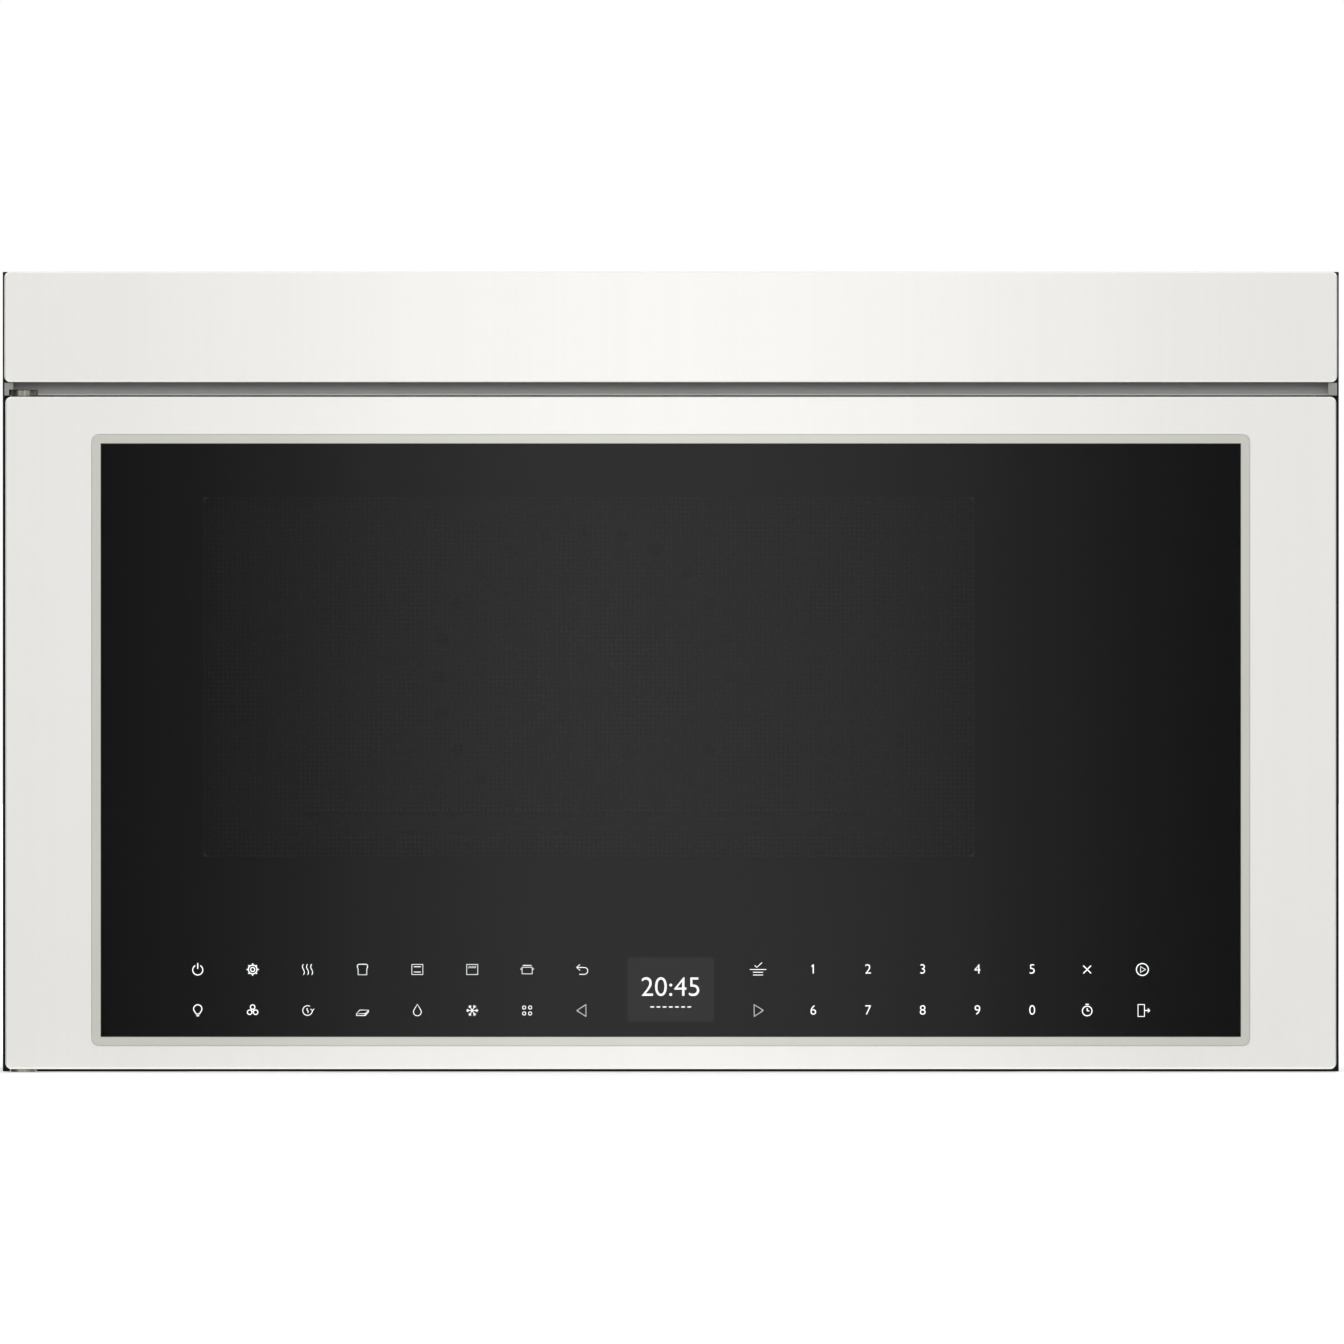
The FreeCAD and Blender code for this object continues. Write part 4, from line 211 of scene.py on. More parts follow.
zinc_spangle, given, result = new_effect(
    "zinc spangle", [("Size", "NodeSocketFloat", 90.0)], ["Tone", "Height"]
)
where = zinc_spangle.nodes.new("ShaderNodeTexCoord").outputs["Object"]
stir = zinc_spangle.nodes.new("ShaderNodeTexNoise")
stir.inputs["Scale"].default_value = 120.0
zinc_spangle.links.new(where, stir.inputs["Vector"])
push = zinc_spangle.nodes.new("ShaderNodeVectorMath")
push.operation = "MULTIPLY_ADD"
push.inputs[1].default_value = (0.006, 0.006, 0.006)
zinc_spangle.links.new(stir.outputs["Color"], push.inputs[0])
zinc_spangle.links.new(where, push.inputs[2])
crystals = zinc_spangle.nodes.new("ShaderNodeTexVoronoi")
zinc_spangle.links.new(push.outputs[0], crystals.inputs["Vector"])
zinc_spangle.links.new(given["Size"], crystals.inputs["Scale"])
tone = zinc_spangle.nodes.new("ShaderNodeSeparateColor")
zinc_spangle.links.new(crystals.outputs["Color"], tone.inputs[0])
zinc_spangle.links.new(tone.outputs[0], result["Tone"])
zinc_spangle.links.new(crystals.outputs["Distance"], result["Height"])


def galvanised(name, size, dull, bright):
    """Zinc coated sheet, between a dull and a bright crystal."""
    zinc = Finish(name, dull, 0.42, 0.85)
    spangle = zinc.effect(zinc_spangle, Size=size)
    zinc.colour(spangle["Tone"], dull, bright)
    zinc.sheen_of(spangle["Tone"], 0.5, 0.34)
    zinc.relief(spangle["Height"], 0.00012, 0.3)
    return zinc


dull_zinc, bright_zinc = screen_colour(176, 180, 183), screen_colour(196, 199, 201)
bare_zinc = galvanised("galvanised sheet", 130.0, dull_zinc, bright_zinc)
dress(bare_zinc, "back_panel", "top_panel", "air_deck", "component_shelf")

# ---- Case screws and hinge arms -------------------------------------------------------------
# Self tapping screws with pan heads hold the back panel, and two steel arms carry the door. All
# are zinc plated and passivated, which leaves a faint yellow and blue cast.

plated = Finish("passivated zinc plate", screen_colour(190, 186, 172), 0.3, 1.0)
film = plated.texture("Noise", 380.0)
blue_film, yellow_film = screen_colour(176, 180, 184), screen_colour(204, 194, 168)
plated.colour(film.outputs["Fac"], blue_film, yellow_film, 0.35, 0.65)
plated.sheen_of(film.outputs["Fac"], 0.24, 0.4)
plated.relief(film.outputs["Fac"], 0.00005, 0.3)
dress(plated, "case_screws", "hinge_arms")

# ---- Front frame and exhaust deflector ------------------------------------------------------
# The plate round the cavity mouth is enamelled light grey like the oven. The deflector is a satin
# grey moulding and turns the kitchen air out over the door. Its ends are coloured darker, as
# painted shade.


def enamelled(name, dark, light, size=900.0):
    """Fired enamel or smooth paint: near even, with a very fine peel."""
    skin = Finish(name, light, 0.32)
    peel = skin.effect(powder_coat, Size=size)
    skin.colour(peel["Mottle"], dark, light, 0.35, 0.65)
    skin.sheen_of(peel["Mottle"], 0.38, 0.28, 0.3, 0.7)
    skin.relief(peel["Height"], 0.0001, 0.3)
    return skin


oven_grey = enamelled(
    "oven grey enamel", screen_colour(183, 184, 183), screen_colour(187, 188, 187)
)
dress(oven_grey, "front_frame")

satin_grey = enamelled(
    "satin grey moulding", screen_colour(194, 194, 192), screen_colour(199, 199, 197), 700.0
)
cheek_start = 0.373
from_middle = satin_grey.sum_of("ABSOLUTE", satin_grey.position()["X"], 0.0)
bar_colour = satin_grey.shader.inputs["Base Color"].links[0].from_socket
# Painted shade: past cheek_start the ends take a darker grey for the shade that falls on them in
# the gap.
shaded_end_grey = screen_colour(148, 148, 144)
satin_grey.colour(from_middle, bar_colour, shaded_end_grey, cheek_start - 0.0001, cheek_start)
dress(satin_grey, "exhaust_deflector")

# ---- Charcoal filters -----------------------------------------------------------------------
# Two cassettes stand on the air deck behind the vent panel. Each is a black plastic grid over
# a bed of charcoal grains, which glitter faintly. The gaps between the grains are painted darker
# as shade.

charcoal = Finish("charcoal bed", screen_colour(26, 26, 27), 0.7)
grains = charcoal.texture("Voronoi", 420.0)
top_of_grain, shaded_between_grains = screen_colour(44, 44, 46), screen_colour(14, 14, 15)
# Painted shade: the charcoal is coloured darker towards the gaps between the grains.
charcoal.colour(grains.outputs["Distance"], top_of_grain, shaded_between_grains, 0.0, 0.6)
charcoal.sheen_of(grains.outputs["Distance"], 0.4, 0.9)
charcoal.relief(grains.outputs["Distance"], 0.001, 0.8)
dress(charcoal, "charcoal_filters")

# ---- Vent panel -----------------------------------------------------------------------------
# The plain panel over the door is bent from the same pale satin metal as the door skin. Its
# grain is drawn upright, and is only just seen as fine streaks.

drawn_grain, given, result = new_effect(
    "drawn grain",
    [("Stretch", "NodeSocketVector", (900.0, 900.0, 9.0))],
    ["Streak", "Band", "Height"],
)
where = drawn_grain.nodes.new("ShaderNodeTexCoord").outputs["Object"]
for title, share, detail in (("Streak", 1.0, 3.0), ("Band", 0.12, 2.0), ("Height", 2.2, 2.0)):
    pull = drawn_grain.nodes.new("ShaderNodeVectorMath")
    pull.operation = "MULTIPLY"
    drawn_grain.links.new(where, pull.inputs[0])
    drawn_grain.links.new(given["Stretch"], pull.inputs[1])
    streaks = drawn_grain.nodes.new("ShaderNodeTexNoise")
    streaks.inputs["Scale"].default_value = share
    streaks.inputs["Detail"].default_value = detail
    drawn_grain.links.new(pull.outputs[0], streaks.inputs["Vector"])
    drawn_grain.links.new(streaks.outputs["Fac"], result[title])

pale_metal = Finish("pale satin metal", screen_colour(247, 246, 242), 0.26, 0.3)
grain = pale_metal.effect(drawn_grain, Stretch=(330.0, 330.0, 2.0))
pale_metal.colour(
    pale_metal.blend(grain["Streak"], (0.0, 0.0, 0.0, 1.0), (1.0, 1.0, 1.0, 1.0), 0.2, 0.8),
    screen_colour(246, 245, 241),
    screen_colour(248, 247, 243),
)
pale_metal.sheen_of(grain["Band"], 0.24, 0.28, 0.2, 0.8)
dress(pale_metal, "vent_fascia", "door_frame")

# ---- Oven cavity ----------------------------------------------------------------------------
# Five enamelled sheets make the cavity: side walls pressed with rails, a rear wall pierced for
# the convection air, a floor, and a ceiling with a ring of holes under the lamp. The inner pan
# of the door has the same flecked enamel.

cavity_enamel = enamelled(
    "cavity enamel", screen_colour(176, 178, 178), screen_colour(182, 184, 183), 1100.0
)
fleck = cavity_enamel.texture("Voronoi", 260.0)
fleck_grey, ground_grey = screen_colour(128, 130, 132), screen_colour(180, 182, 181)
cavity_enamel.colour(fleck.outputs["Distance"], fleck_grey, ground_grey, 0.04, 0.14)
dress(
    cavity_enamel,
    "cavity_floor",
    "cavity_ceiling",
    "cavity_left_wall",
    "cavity_right_wall",
    "cavity_rear_wall",
    "door_inner_panel",
)

# ---- Cavity lamp ----------------------------------------------------------------------------
# A small lamp unit sits on the ceiling over its ring of holes. Its holder is a glass filled
# plastic, cream with the heat.

holder = Finish("lamp holder plastic", screen_colour(222, 214, 196), 0.5)
heat = holder.effect(powder_coat, Size=800.0)
holder.colour(heat["Mottle"], screen_colour(214, 203, 180), screen_colour(228, 222, 206), 0.3, 0.7)
holder.relief(heat["Height"], 0.0001, 0.4)
dress(holder, "cavity_lamp")

# ---- Convection unit ------------------------------------------------------------------------
# A spun drum behind the rear wall holds the ring heater and the fan. The heater's sheath has
# turned brown and blue with use, and the fan is bright aluminium.

sheath = Finish("heater sheath", screen_colour(84, 78, 74), 0.42, 0.9)
tint = sheath.texture("Noise", 26.0, detail=6.0)
blue_tint, brown_tint = screen_colour(70, 72, 86), screen_colour(104, 82, 64)
sheath.colour(tint.outputs["Fac"], blue_tint, brown_tint, 0.35, 0.65)
sheath.sheen_of(tint.outputs["Fac"], 0.34, 0.56)
sheath.relief(tint.outputs["Fac"], 0.0002, 0.3)
dress(sheath, "convection_heater")


def spun_metal(name, dull, bright, stretch, roughness=0.34):
    """Bare metal with the marks of its making drawn along one direction."""
    metal = Finish(name, bright, roughness, 1.0)
    marks = metal.effect(drawn_grain, Stretch=stretch)
    metal.colour(marks["Streak"], dull, bright, 0.3, 0.7)
    metal.sheen_of(marks["Band"], roughness - 0.06, roughness + 0.1, 0.3, 0.7)
    metal.relief(marks["Height"], 0.00004, 0.3)
    return metal


marks_along_x, marks_along_z = (60.0, 900.0, 900.0), (900.0, 900.0, 60.0)
bare_alloy = spun_metal(
    "bare aluminium", screen_colour(186, 188, 190), screen_colour(212, 213, 214), marks_along_x
)
motor_can = spun_metal(
    "plated motor can", screen_colour(150, 152, 154), screen_colour(178, 180, 182), marks_along_z
)
dress(bare_alloy, "convection_fan", "magnetron", "damper_flap")
dress(motor_can, "convection_motor", "turntable_motor", "blower_motor")
drum_zinc = galvanised(
    "drum sheet", 180.0, screen_colour(164, 166, 168), screen_colour(184, 186, 188)
)
dress(drum_zinc, "convection_housing", "waveguide", "damper_collar", "blower_scrolls")

# ---- Turntable ------------------------------------------------------------------------------
# The motor under the floor turns a nylon coupler. The pressed glass tray sits on it and on
# three wheels that run in a loose plastic ring. The door's small sliding parts are nylon too.


def moulded(name, dark, light, roughness=0.45, size=1400.0):
    """Moulded plastic, with the fine spark grain of its tool."""
    plastic = Finish(name, light, roughness)
    grain = plastic.effect(powder_coat, Size=size)
    plastic.colour(grain["Mottle"], dark, light, 0.3, 0.7)
    plastic.sheen_of(grain["Mottle"], roughness - 0.06, roughness + 0.08, 0.3, 0.7)
    plastic.relief(grain["Height"], 0.00012, 0.5)
    return plastic


nylon = moulded("natural nylon", screen_colour(216, 213, 202), screen_colour(228, 226, 216), 0.4)
dress(
    nylon,
    "turntable_drive",
    "roller_ring",
    "roller_wheel_1",
    "roller_wheel_2",
    "roller_wheel_3",
    "hinge_blocks",
    "latch_slide",
    "interlock_plungers",
    "interlock_bracket",
)


def clear_glass(name, tint, roughness=0.02, ripple=0.00008):
    """Clear glass with the slight ripple of pressed or rolled glass."""
    glass = Finish(name, tint, roughness)
    glass.shader.inputs["Transmission Weight"].default_value = 1.0
    glass.shader.inputs["IOR"].default_value = 1.5
    wave = glass.texture("Noise", 34.0)
    glass.sheen_of(wave.outputs["Fac"], roughness, roughness + 0.03, 0.4, 0.7)
    glass.relief(wave.outputs["Fac"], ripple, 0.4)
    return glass


tray_glass = clear_glass("pressed tray glass", (0.93, 0.97, 0.955, 1.0), 0.03, 0.0006)
dress(tray_glass, "turntable_tray")

# ---- Ventilation blower ---------------------------------------------------------------------
# Two squirrel cage wheels on one shaft, each in a scroll of zinc coated sheet, with the motor
# between them. The wheels are moulded black, with twenty curved blades each, and so are the
# cooling fan and the door's switches.

black_plastic = moulded(
    "black moulded plastic", screen_colour(26, 26, 27), screen_colour(36, 36, 37), 0.42
)
dress(black_plastic, "blower_rotor", "cooling_fan", "cooling_fan_frame", "interlock_switches")

# ---- Cord gland -----------------------------------------------------------------------------
# A rubber ring lines the hole in the top through which the cord is led up. It is matt, with a
# grey bloom.

rubber = Finish("gland rubber", screen_colour(28, 28, 28), 0.75)
bloom = rubber.effect(powder_coat, Size=500.0)
rubber.colour(bloom["Mottle"], screen_colour(24, 24, 24), screen_colour(44, 44, 43), 0.4, 0.75)
rubber.relief(bloom["Height"], 0.0002, 0.4)
dress(rubber, "cord_gland")

# ---- Grease filters -------------------------------------------------------------------------
# Each filter is a folded aluminium frame round layers of expanded aluminium foil. The lowest
# layer is a net of open diamonds, and a wire ring lies in the front for the finger.

alloy_dull, alloy_bright = screen_colour(188, 190, 192), screen_colour(210, 211, 212)
filter_alloy = spun_metal("filter aluminium", alloy_dull, alloy_bright, marks_along_x, 0.36)
filter_rim = 0.0095
cell_wide, cell_long, net_lift, strand = 0.0072, 0.0052, 0.0018, 0.0009
ring_radius, ring_wire, ring_inset, ring_lift = 0.0105, 0.0008, 0.0235, 0.0009


def filter_finish(side, low, high):
    """Plain metal on the frame, and inside its rim the crimped layers of foil, painted dark with
    the shade between the layers.
    """
    both = Finish(side + " filter layers", screen_colour(150, 152, 154), 0.42, 0.9)
    x, y, z = both.position()
    inside = None
    for coordinate, start, end in ((x, low.x, high.x), (y, low.y, high.y)):
        offset = both.sum_of("SUBTRACT", coordinate, (start + end) / 2)
        distance = both.sum_of("ABSOLUTE", offset, 0.0)
        room = both.sum_of("SUBTRACT", (end - start) / 2 - filter_rim, distance)
        inside = room if inside is None else both.sum_of("MINIMUM", inside, room)
    # Painted shade: the foil is coloured darker towards the hollows of its layers, where shade
    # falls between them.
    layers = both.texture("Voronoi", 330.0, distance="MANHATTAN")
    crest, shaded_hollow = screen_colour(150, 151, 152), screen_colour(34, 35, 36)
    shaded_foil = both.blend(layers.outputs["Distance"], crest, shaded_hollow, 0.05, 0.6)
    streaks = both.effect(drawn_grain, Stretch=marks_along_x)
    rim = both.blend(streaks["Streak"], alloy_dull, alloy_bright, 0.3, 0.7)
    both.colour(inside, rim, shaded_foil, -0.00005, 0.00005)
    both.sheen_of(inside, 0.36, 0.55, -0.00005, 0.00005)
    both.relief(layers.outputs["Distance"], 0.0003, 0.5)
    return both


def into_frame(bm, name, finish, body):
    """Turns a finished bmesh into a piece that rides on a body."""
    mesh = bpy.data.meshes.new(name)
    bm.to_mesh(mesh)
    bm.free()
    mesh.materials.append(finish.material)
    piece = bpy.data.objects.new(name, mesh)
    bpy.context.scene.collection.objects.link(piece)
    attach(piece, body)
    return piece


def stand_up(bm):
    """Turns what was made lying flat to face the front."""
    quarter = Matrix.Rotation(math.pi / 2, 3, "X")
    bmesh.ops.rotate(bm, cent=(0, 0, 0), matrix=quarter, verts=bm.verts)


for side in ("left", "right"):
    low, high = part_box(side + "_grease_filter")
    dress(filter_finish(side, low, high), side + "_grease_filter")
    net = bmesh.new()
    across, along = high.x - low.x - 2 * filter_rim, high.y - low.y - 2 * filter_rim
    cells_x, cells_y = round(across / cell_wide), round(along / cell_long)
    centre_x, centre_y = (low.x + high.x) / 2, (low.y + high.y) / 2
    bmesh.ops.create_grid(net, x_segments=cells_x, y_segments=cells_y, size=0.5)
    squares = net.edges[:]
    bmesh.ops.poke(net, faces=net.faces[:])
    inner = [edge for edge in squares if len(edge.link_faces) == 2]
    bmesh.ops.dissolve_edges(net, edges=inner)
    bmesh.ops.scale(net, vec=(across, along, 1.0), verts=net.verts)
    bmesh.ops.translate(net, vec=(centre_x, centre_y, low.z + net_lift), verts=net.verts)
    net_piece = into_frame(net, side + "_filter_net", filter_alloy, side + "_filter")
    strands = net_piece.modifiers.new("strands", "WIREFRAME")
    strands.thickness = strand
    strands.use_replace = True

    ring = bmesh.new()
    bmesh.ops.create_circle(ring, segments=10, radius=ring_wire)
    stand_up(ring)
    bmesh.ops.translate(ring, vec=(ring_radius, 0, 0), verts=ring.verts)
    bmesh.ops.spin(
        ring,
        geom=ring.verts[:] + ring.edges[:],
        cent=(0, 0, 0),
        axis=(0, 0, 1),
        angle=2 * math.pi,
        steps=36,
        use_merge=True,
    )
    bmesh.ops.recalc_face_normals(ring, faces=ring.faces)
    place = (centre_x, low.y + ring_inset, low.z + ring_lift)
    bmesh.ops.translate(ring, vec=place, verts=ring.verts)
    ring_piece = into_frame(ring, side + "_filter_ring", plated, side + "_filter")
    for face in ring_piece.data.polygons:
        face.use_smooth = True

# ---- Cooktop lights -------------------------------------------------------------------------
# Two lights look down on the cooktop through windows in the pan. Each lens is moulded with
# fine ribs in a clear, slightly frosted plastic, and the ribs are painted in light and dark bands
# as painted highlight and shade.

lens = Finish("ribbed lens plastic", screen_colour(240, 240, 236), 0.35)
ribs = lens.texture("Wave", 110.0, bands_direction="X")
ribs.inputs["Distortion"].default_value = 0.0
# Painted highlight and shade: the colour runs light and dark across each rib.
lens.colour(ribs.outputs["Fac"], screen_colour(206, 206, 200), screen_colour(246, 246, 242))
lens.sheen_of(ribs.outputs["Fac"], 0.25, 0.45)
lens.relief(ribs.outputs["Fac"], 0.0008, 0.8)
dress(lens, "cooktop_lights")

# ---- Electronics bay ------------------------------------------------------------------------
# The supply and the relay board stand in the bay at the right, and the touch board in the
# door. All three are green, and what stands on them is black, grey or copper.


def board_finish(name, board_axis, ends, parts_dark, parts_light):
    """A green board, told apart from the parts on it by its place across one axis."""
    board = Finish(name, screen_colour(30, 92, 52), 0.4)
    tracks = board.texture("Brick", 160.0)
    tracks.inputs["Color1"].default_value = screen_colour(28, 84, 48)
    tracks.inputs["Color2"].default_value = screen_colour(34, 100, 58)
    tracks.inputs["Mortar"].default_value = screen_colour(62, 120, 74)
    speck = board.effect(powder_coat, Size=700.0)
    parts = board.blend(speck["Mottle"], parts_dark, parts_light, 0.3, 0.7)
    middle, half = (ends[0] + ends[1]) / 2, (ends[1] - ends[0]) / 2
    offset = board.sum_of("SUBTRACT", board.position()[board_axis], middle)
    distance = board.sum_of("ABSOLUTE", offset, 0.0)
    board.colour(distance, tracks.outputs["Color"], parts, half + 0.00005, half + 0.00015)
    board.relief(speck["Height"], 0.0001, 0.4)
    return board


board_band = 0.0076
iron, copper = screen_colour(38, 36, 34), screen_colour(150, 90, 52)
black_parts, grey_parts = screen_colour(30, 30, 32), screen_colour(44, 44, 46)
low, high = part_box("inverter_unit")
supply_board = board_finish("supply board", 2, (low.z, low.z + board_band), iron, copper)
dress(supply_board, "inverter_unit")
low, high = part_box("power_board")
ends = (high.x - board_band, high.x)
relay_board = board_finish("relay board", 0, ends, black_parts, grey_parts)
dress(relay_board, "power_board")
low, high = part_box("touch_board")
touch_board = board_finish("touch board", 1, (low.y, high.y), black_parts, grey_parts)
dress(touch_board, "touch_board")

# ---- Waveguide cover ------------------------------------------------------------------------
# A sheet of pressed mica covers the port in the cavity wall. Its flakes are tan and grey, and
# shine one by one.

mica = Finish("pressed mica", screen_colour(168, 152, 124), 0.4)
flakes = mica.texture("Voronoi", 140.0)
hue = mica.node("ShaderNodeSeparateColor")
mica.join(flakes.outputs["Color"], hue.inputs[0])
mica.colour(hue.outputs[0], screen_colour(150, 136, 112), screen_colour(190, 176, 148))
mica.sheen_of(hue.outputs[1], 0.25, 0.55)
mica.relief(flakes.outputs["Distance"], 0.0001, 0.4)
dress(mica, "waveguide_cover")

# ---- Window trim ----------------------------------------------------------------------------
# A satin champagne band frames the glass. It is an anodised aluminium section, bent round at
# the outer corners, and its flat lip holds the glass in the door skin.

anodised = Finish("champagne anodised aluminium", screen_colour(222, 222, 214), 0.3, 0.5)
marks = anodised.effect(powder_coat, Size=2600.0)
trim_dark, trim_light = screen_colour(220, 220, 212), screen_colour(224, 224, 216)
anodised.colour(marks["Mottle"], trim_dark, trim_light, 0.3, 0.7)
anodised.sheen_of(marks["Height"], 0.28, 0.34, 0.3, 0.7)
anodised.relief(marks["Height"], 0.00001, 0.2)
dress(anodised, "window_trim")

# ---- Door glass -----------------------------------------------------------------------------
# One toughened sheet fills the trim, smoked dark, with ground edges. It replaces the CAD sheet
# and leaves room behind it for the black print.

smoked = Finish("smoked glass", (0.2, 0.2, 0.205, 1.0), 0.0)
smoked.shader.inputs["Transmission Weight"].default_value = 1.0
smoked.shader.inputs["IOR"].default_value = 1.33
wave = smoked.texture("Noise", 6.0)
smoked.sheen_of(wave.outputs["Fac"], 0.0, 0.02, 0.45, 0.7)
glass_low, glass_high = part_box("door_glass")
glass_wide, glass_tall = glass_high.x - glass_low.x, glass_high.z - glass_low.z
glass_level = (glass_low.z + glass_high.z) / 2
print_room, ground_edge = 0.0002, 0.0004
glass_thick = glass_high.y - glass_low.y - print_room
glass_depth = (glass_low.y + glass_high.y - print_room) / 2
sheet = bmesh.new()
bmesh.ops.create_cube(sheet, size=1.0)
bmesh.ops.scale(sheet, vec=(glass_wide, glass_thick, glass_tall), verts=sheet.verts)
bmesh.ops.translate(sheet, vec=(0.0, glass_depth, glass_level), verts=sheet.verts)
bmesh.ops.bevel(
    sheet,
    geom=sheet.edges[:],
    offset=ground_edge,
    offset_type="OFFSET",
    segments=2,
    profile=0.5,
    affect="EDGES",
    material=-1,
)
door_glass = into_frame(sheet, "smoked_door_glass", smoked, "door")
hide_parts("door_glass")

# ---- Glass seal -----------------------------------------------------------------------------
# A hair line of black sealant closes the joint between the trim and the face of the glass.

trim_low, trim_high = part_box("window_trim")
trim_lap, seal_wide, seal_high = 0.00505, 0.0005, 0.0002
seal_long = trim_high.x - trim_low.x - 2 * trim_lap
seal_tall = trim_high.z - trim_low.z - 2 * trim_lap
trim_level = (trim_low.z + trim_high.z) / 2
bead = bmesh.new()
bmesh.ops.create_grid(bead, x_segments=1, y_segments=1, size=0.5)
stand_up(bead)
bmesh.ops.scale(bead, vec=(seal_long, 1.0, seal_tall), verts=bead.verts)
bmesh.ops.translate(bead, vec=(0.0, glass_low.y - seal_high, trim_level), verts=bead.verts)
bmesh.ops.inset_region(
    bead, faces=bead.faces[:], use_boundary=True, thickness=seal_wide, use_even_offset=True
)
bead.faces.ensure_lookup_table()
field = max(bead.faces, key=lambda face: face.calc_area())
bmesh.ops.delete(bead, geom=[field], context="FACES")
bmesh.ops.solidify(bead, geom=bead.faces[:], thickness=seal_high)
seal = into_frame(bead, "glass_seal", rubber, "door")

# ---- Black print behind the glass -----------------------------------------------------------
# Black ceramic ink is fired on the back of the glass all round. It is left open over the view
# window and over the display.

ink = Finish("black ceramic ink", screen_colour(13, 13, 14), 0.8)
fired = ink.effect(powder_coat, Size=900.0)
ink.colour(fired["Mottle"], screen_colour(12, 12, 13), screen_colour(15, 15, 16), 0.3, 0.7)
view_low, view_high = Vector((-0.265, 0.0, 0.122)), Vector((0.172, 0.0, 0.326))
display_low, display_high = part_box("display_module")
ink_film, bare_edge = 0.00003, 0.0005
print_wide, print_tall = glass_wide - 2 * bare_edge, glass_tall - 2 * bare_edge
coat = bmesh.new()
bmesh.ops.create_grid(coat, x_segments=1, y_segments=1, size=0.5)
stand_up(coat)
bmesh.ops.scale(coat, vec=(print_wide, 1.0, print_tall), verts=coat.verts)
bmesh.ops.translate(coat, vec=(0.0, glass_high.y - ink_film, glass_level), verts=coat.verts)
openings = ((view_low, view_high), (display_low, display_high))
for low, high in openings:
    for corner in (low, high):
        for normal in ((1, 0, 0), (0, 0, 1)):
            everything = coat.verts[:] + coat.edges[:] + coat.faces[:]
            bmesh.ops.bisect_plane(coat, geom=everything, plane_co=corner, plane_no=normal)
open_faces = []
for face in coat.faces:
    middle = face.calc_center_median()
    for low, high in openings:
        if low.x < middle.x < high.x and low.z < middle.z < high.z:
            open_faces.append(face)
bmesh.ops.delete(coat, geom=open_faces, context="FACES")
bmesh.ops.solidify(coat, geom=coat.faces[:], thickness=ink_film)
black_print = into_frame(coat, "black_glass_print", ink, "door")

# ---- Touch legends --------------------------------------------------------------------------
# White marks are printed on the glass in two rows: plain signs for the functions, two open
# triangles and the ten digits. Each is a few hundredths of a millimetre of ink, with a faint
# painted glow of its own.


def light_up(finish, strength):
    """White light that a surface gives off by itself."""
    finish.shader.inputs["Emission Color"].default_value = (1.0, 1.0, 1.0, 1.0)
    finish.shader.inputs["Emission Strength"].default_value = strength


glowing_legend_ink = Finish("white legend ink", screen_colour(240, 241, 242), 0.5)
grain = glowing_legend_ink.effect(powder_coat, Size=2400.0)
ink_dull, ink_bright = screen_colour(236, 237, 238), screen_colour(244, 245, 246)
glowing_legend_ink.colour(grain["Mottle"], ink_dull, ink_bright, 0.3, 0.7)
glowing_legend_ink.relief(grain["Height"], 0.00002, 0.3)
# Painted glow: the printed ink gives off a little light of its own.
light_up(glowing_legend_ink, 0.45)
glowing_legend_ink.material.cycles.emission_sampling = "NONE"
legend_face = glass_low.y - 0.00001
row_high, row_low = 0.05806, 0.03480
sign_size, fine_line, bold_line, pressed_flat = 0.0013, 0.00024, 0.00034, 0.08
first_sign, sign_pitch = -0.2683, 0.03114
first_digit, digit_pitch, digit_size = 0.0808, 0.03105, 0.0078
confirm_column, cancel_column, start_column = 0.0495, 0.2362, 0.2675


def arc(x, z, radius, start, end, steps=20):
    """Points along an arc, with its angles in degrees from the right."""
    turns = [math.radians(start + (end - start) * step / steps) for step in range(steps + 1)]
    return [(x + radius * math.cos(turn), z + radius * math.sin(turn)) for turn in turns]


def ring_line(x, z, radius, steps=28):
    """A closed circle."""
    return arc(x, z, radius, 0, 360, steps)


def ray(angle, near, far):
    """A short line that points away from the middle."""
    turn = math.radians(angle)
    return [(r * math.cos(turn), r * math.sin(turn)) for r in (near, far)]


def wave_line(x, height, width, steps=14):
    """An upright line with one full wave in it."""
    shares = [step / steps for step in range(steps + 1)]
    return [(x + width * math.sin(2 * math.pi * k), height * (k - 0.5)) for k in shares]


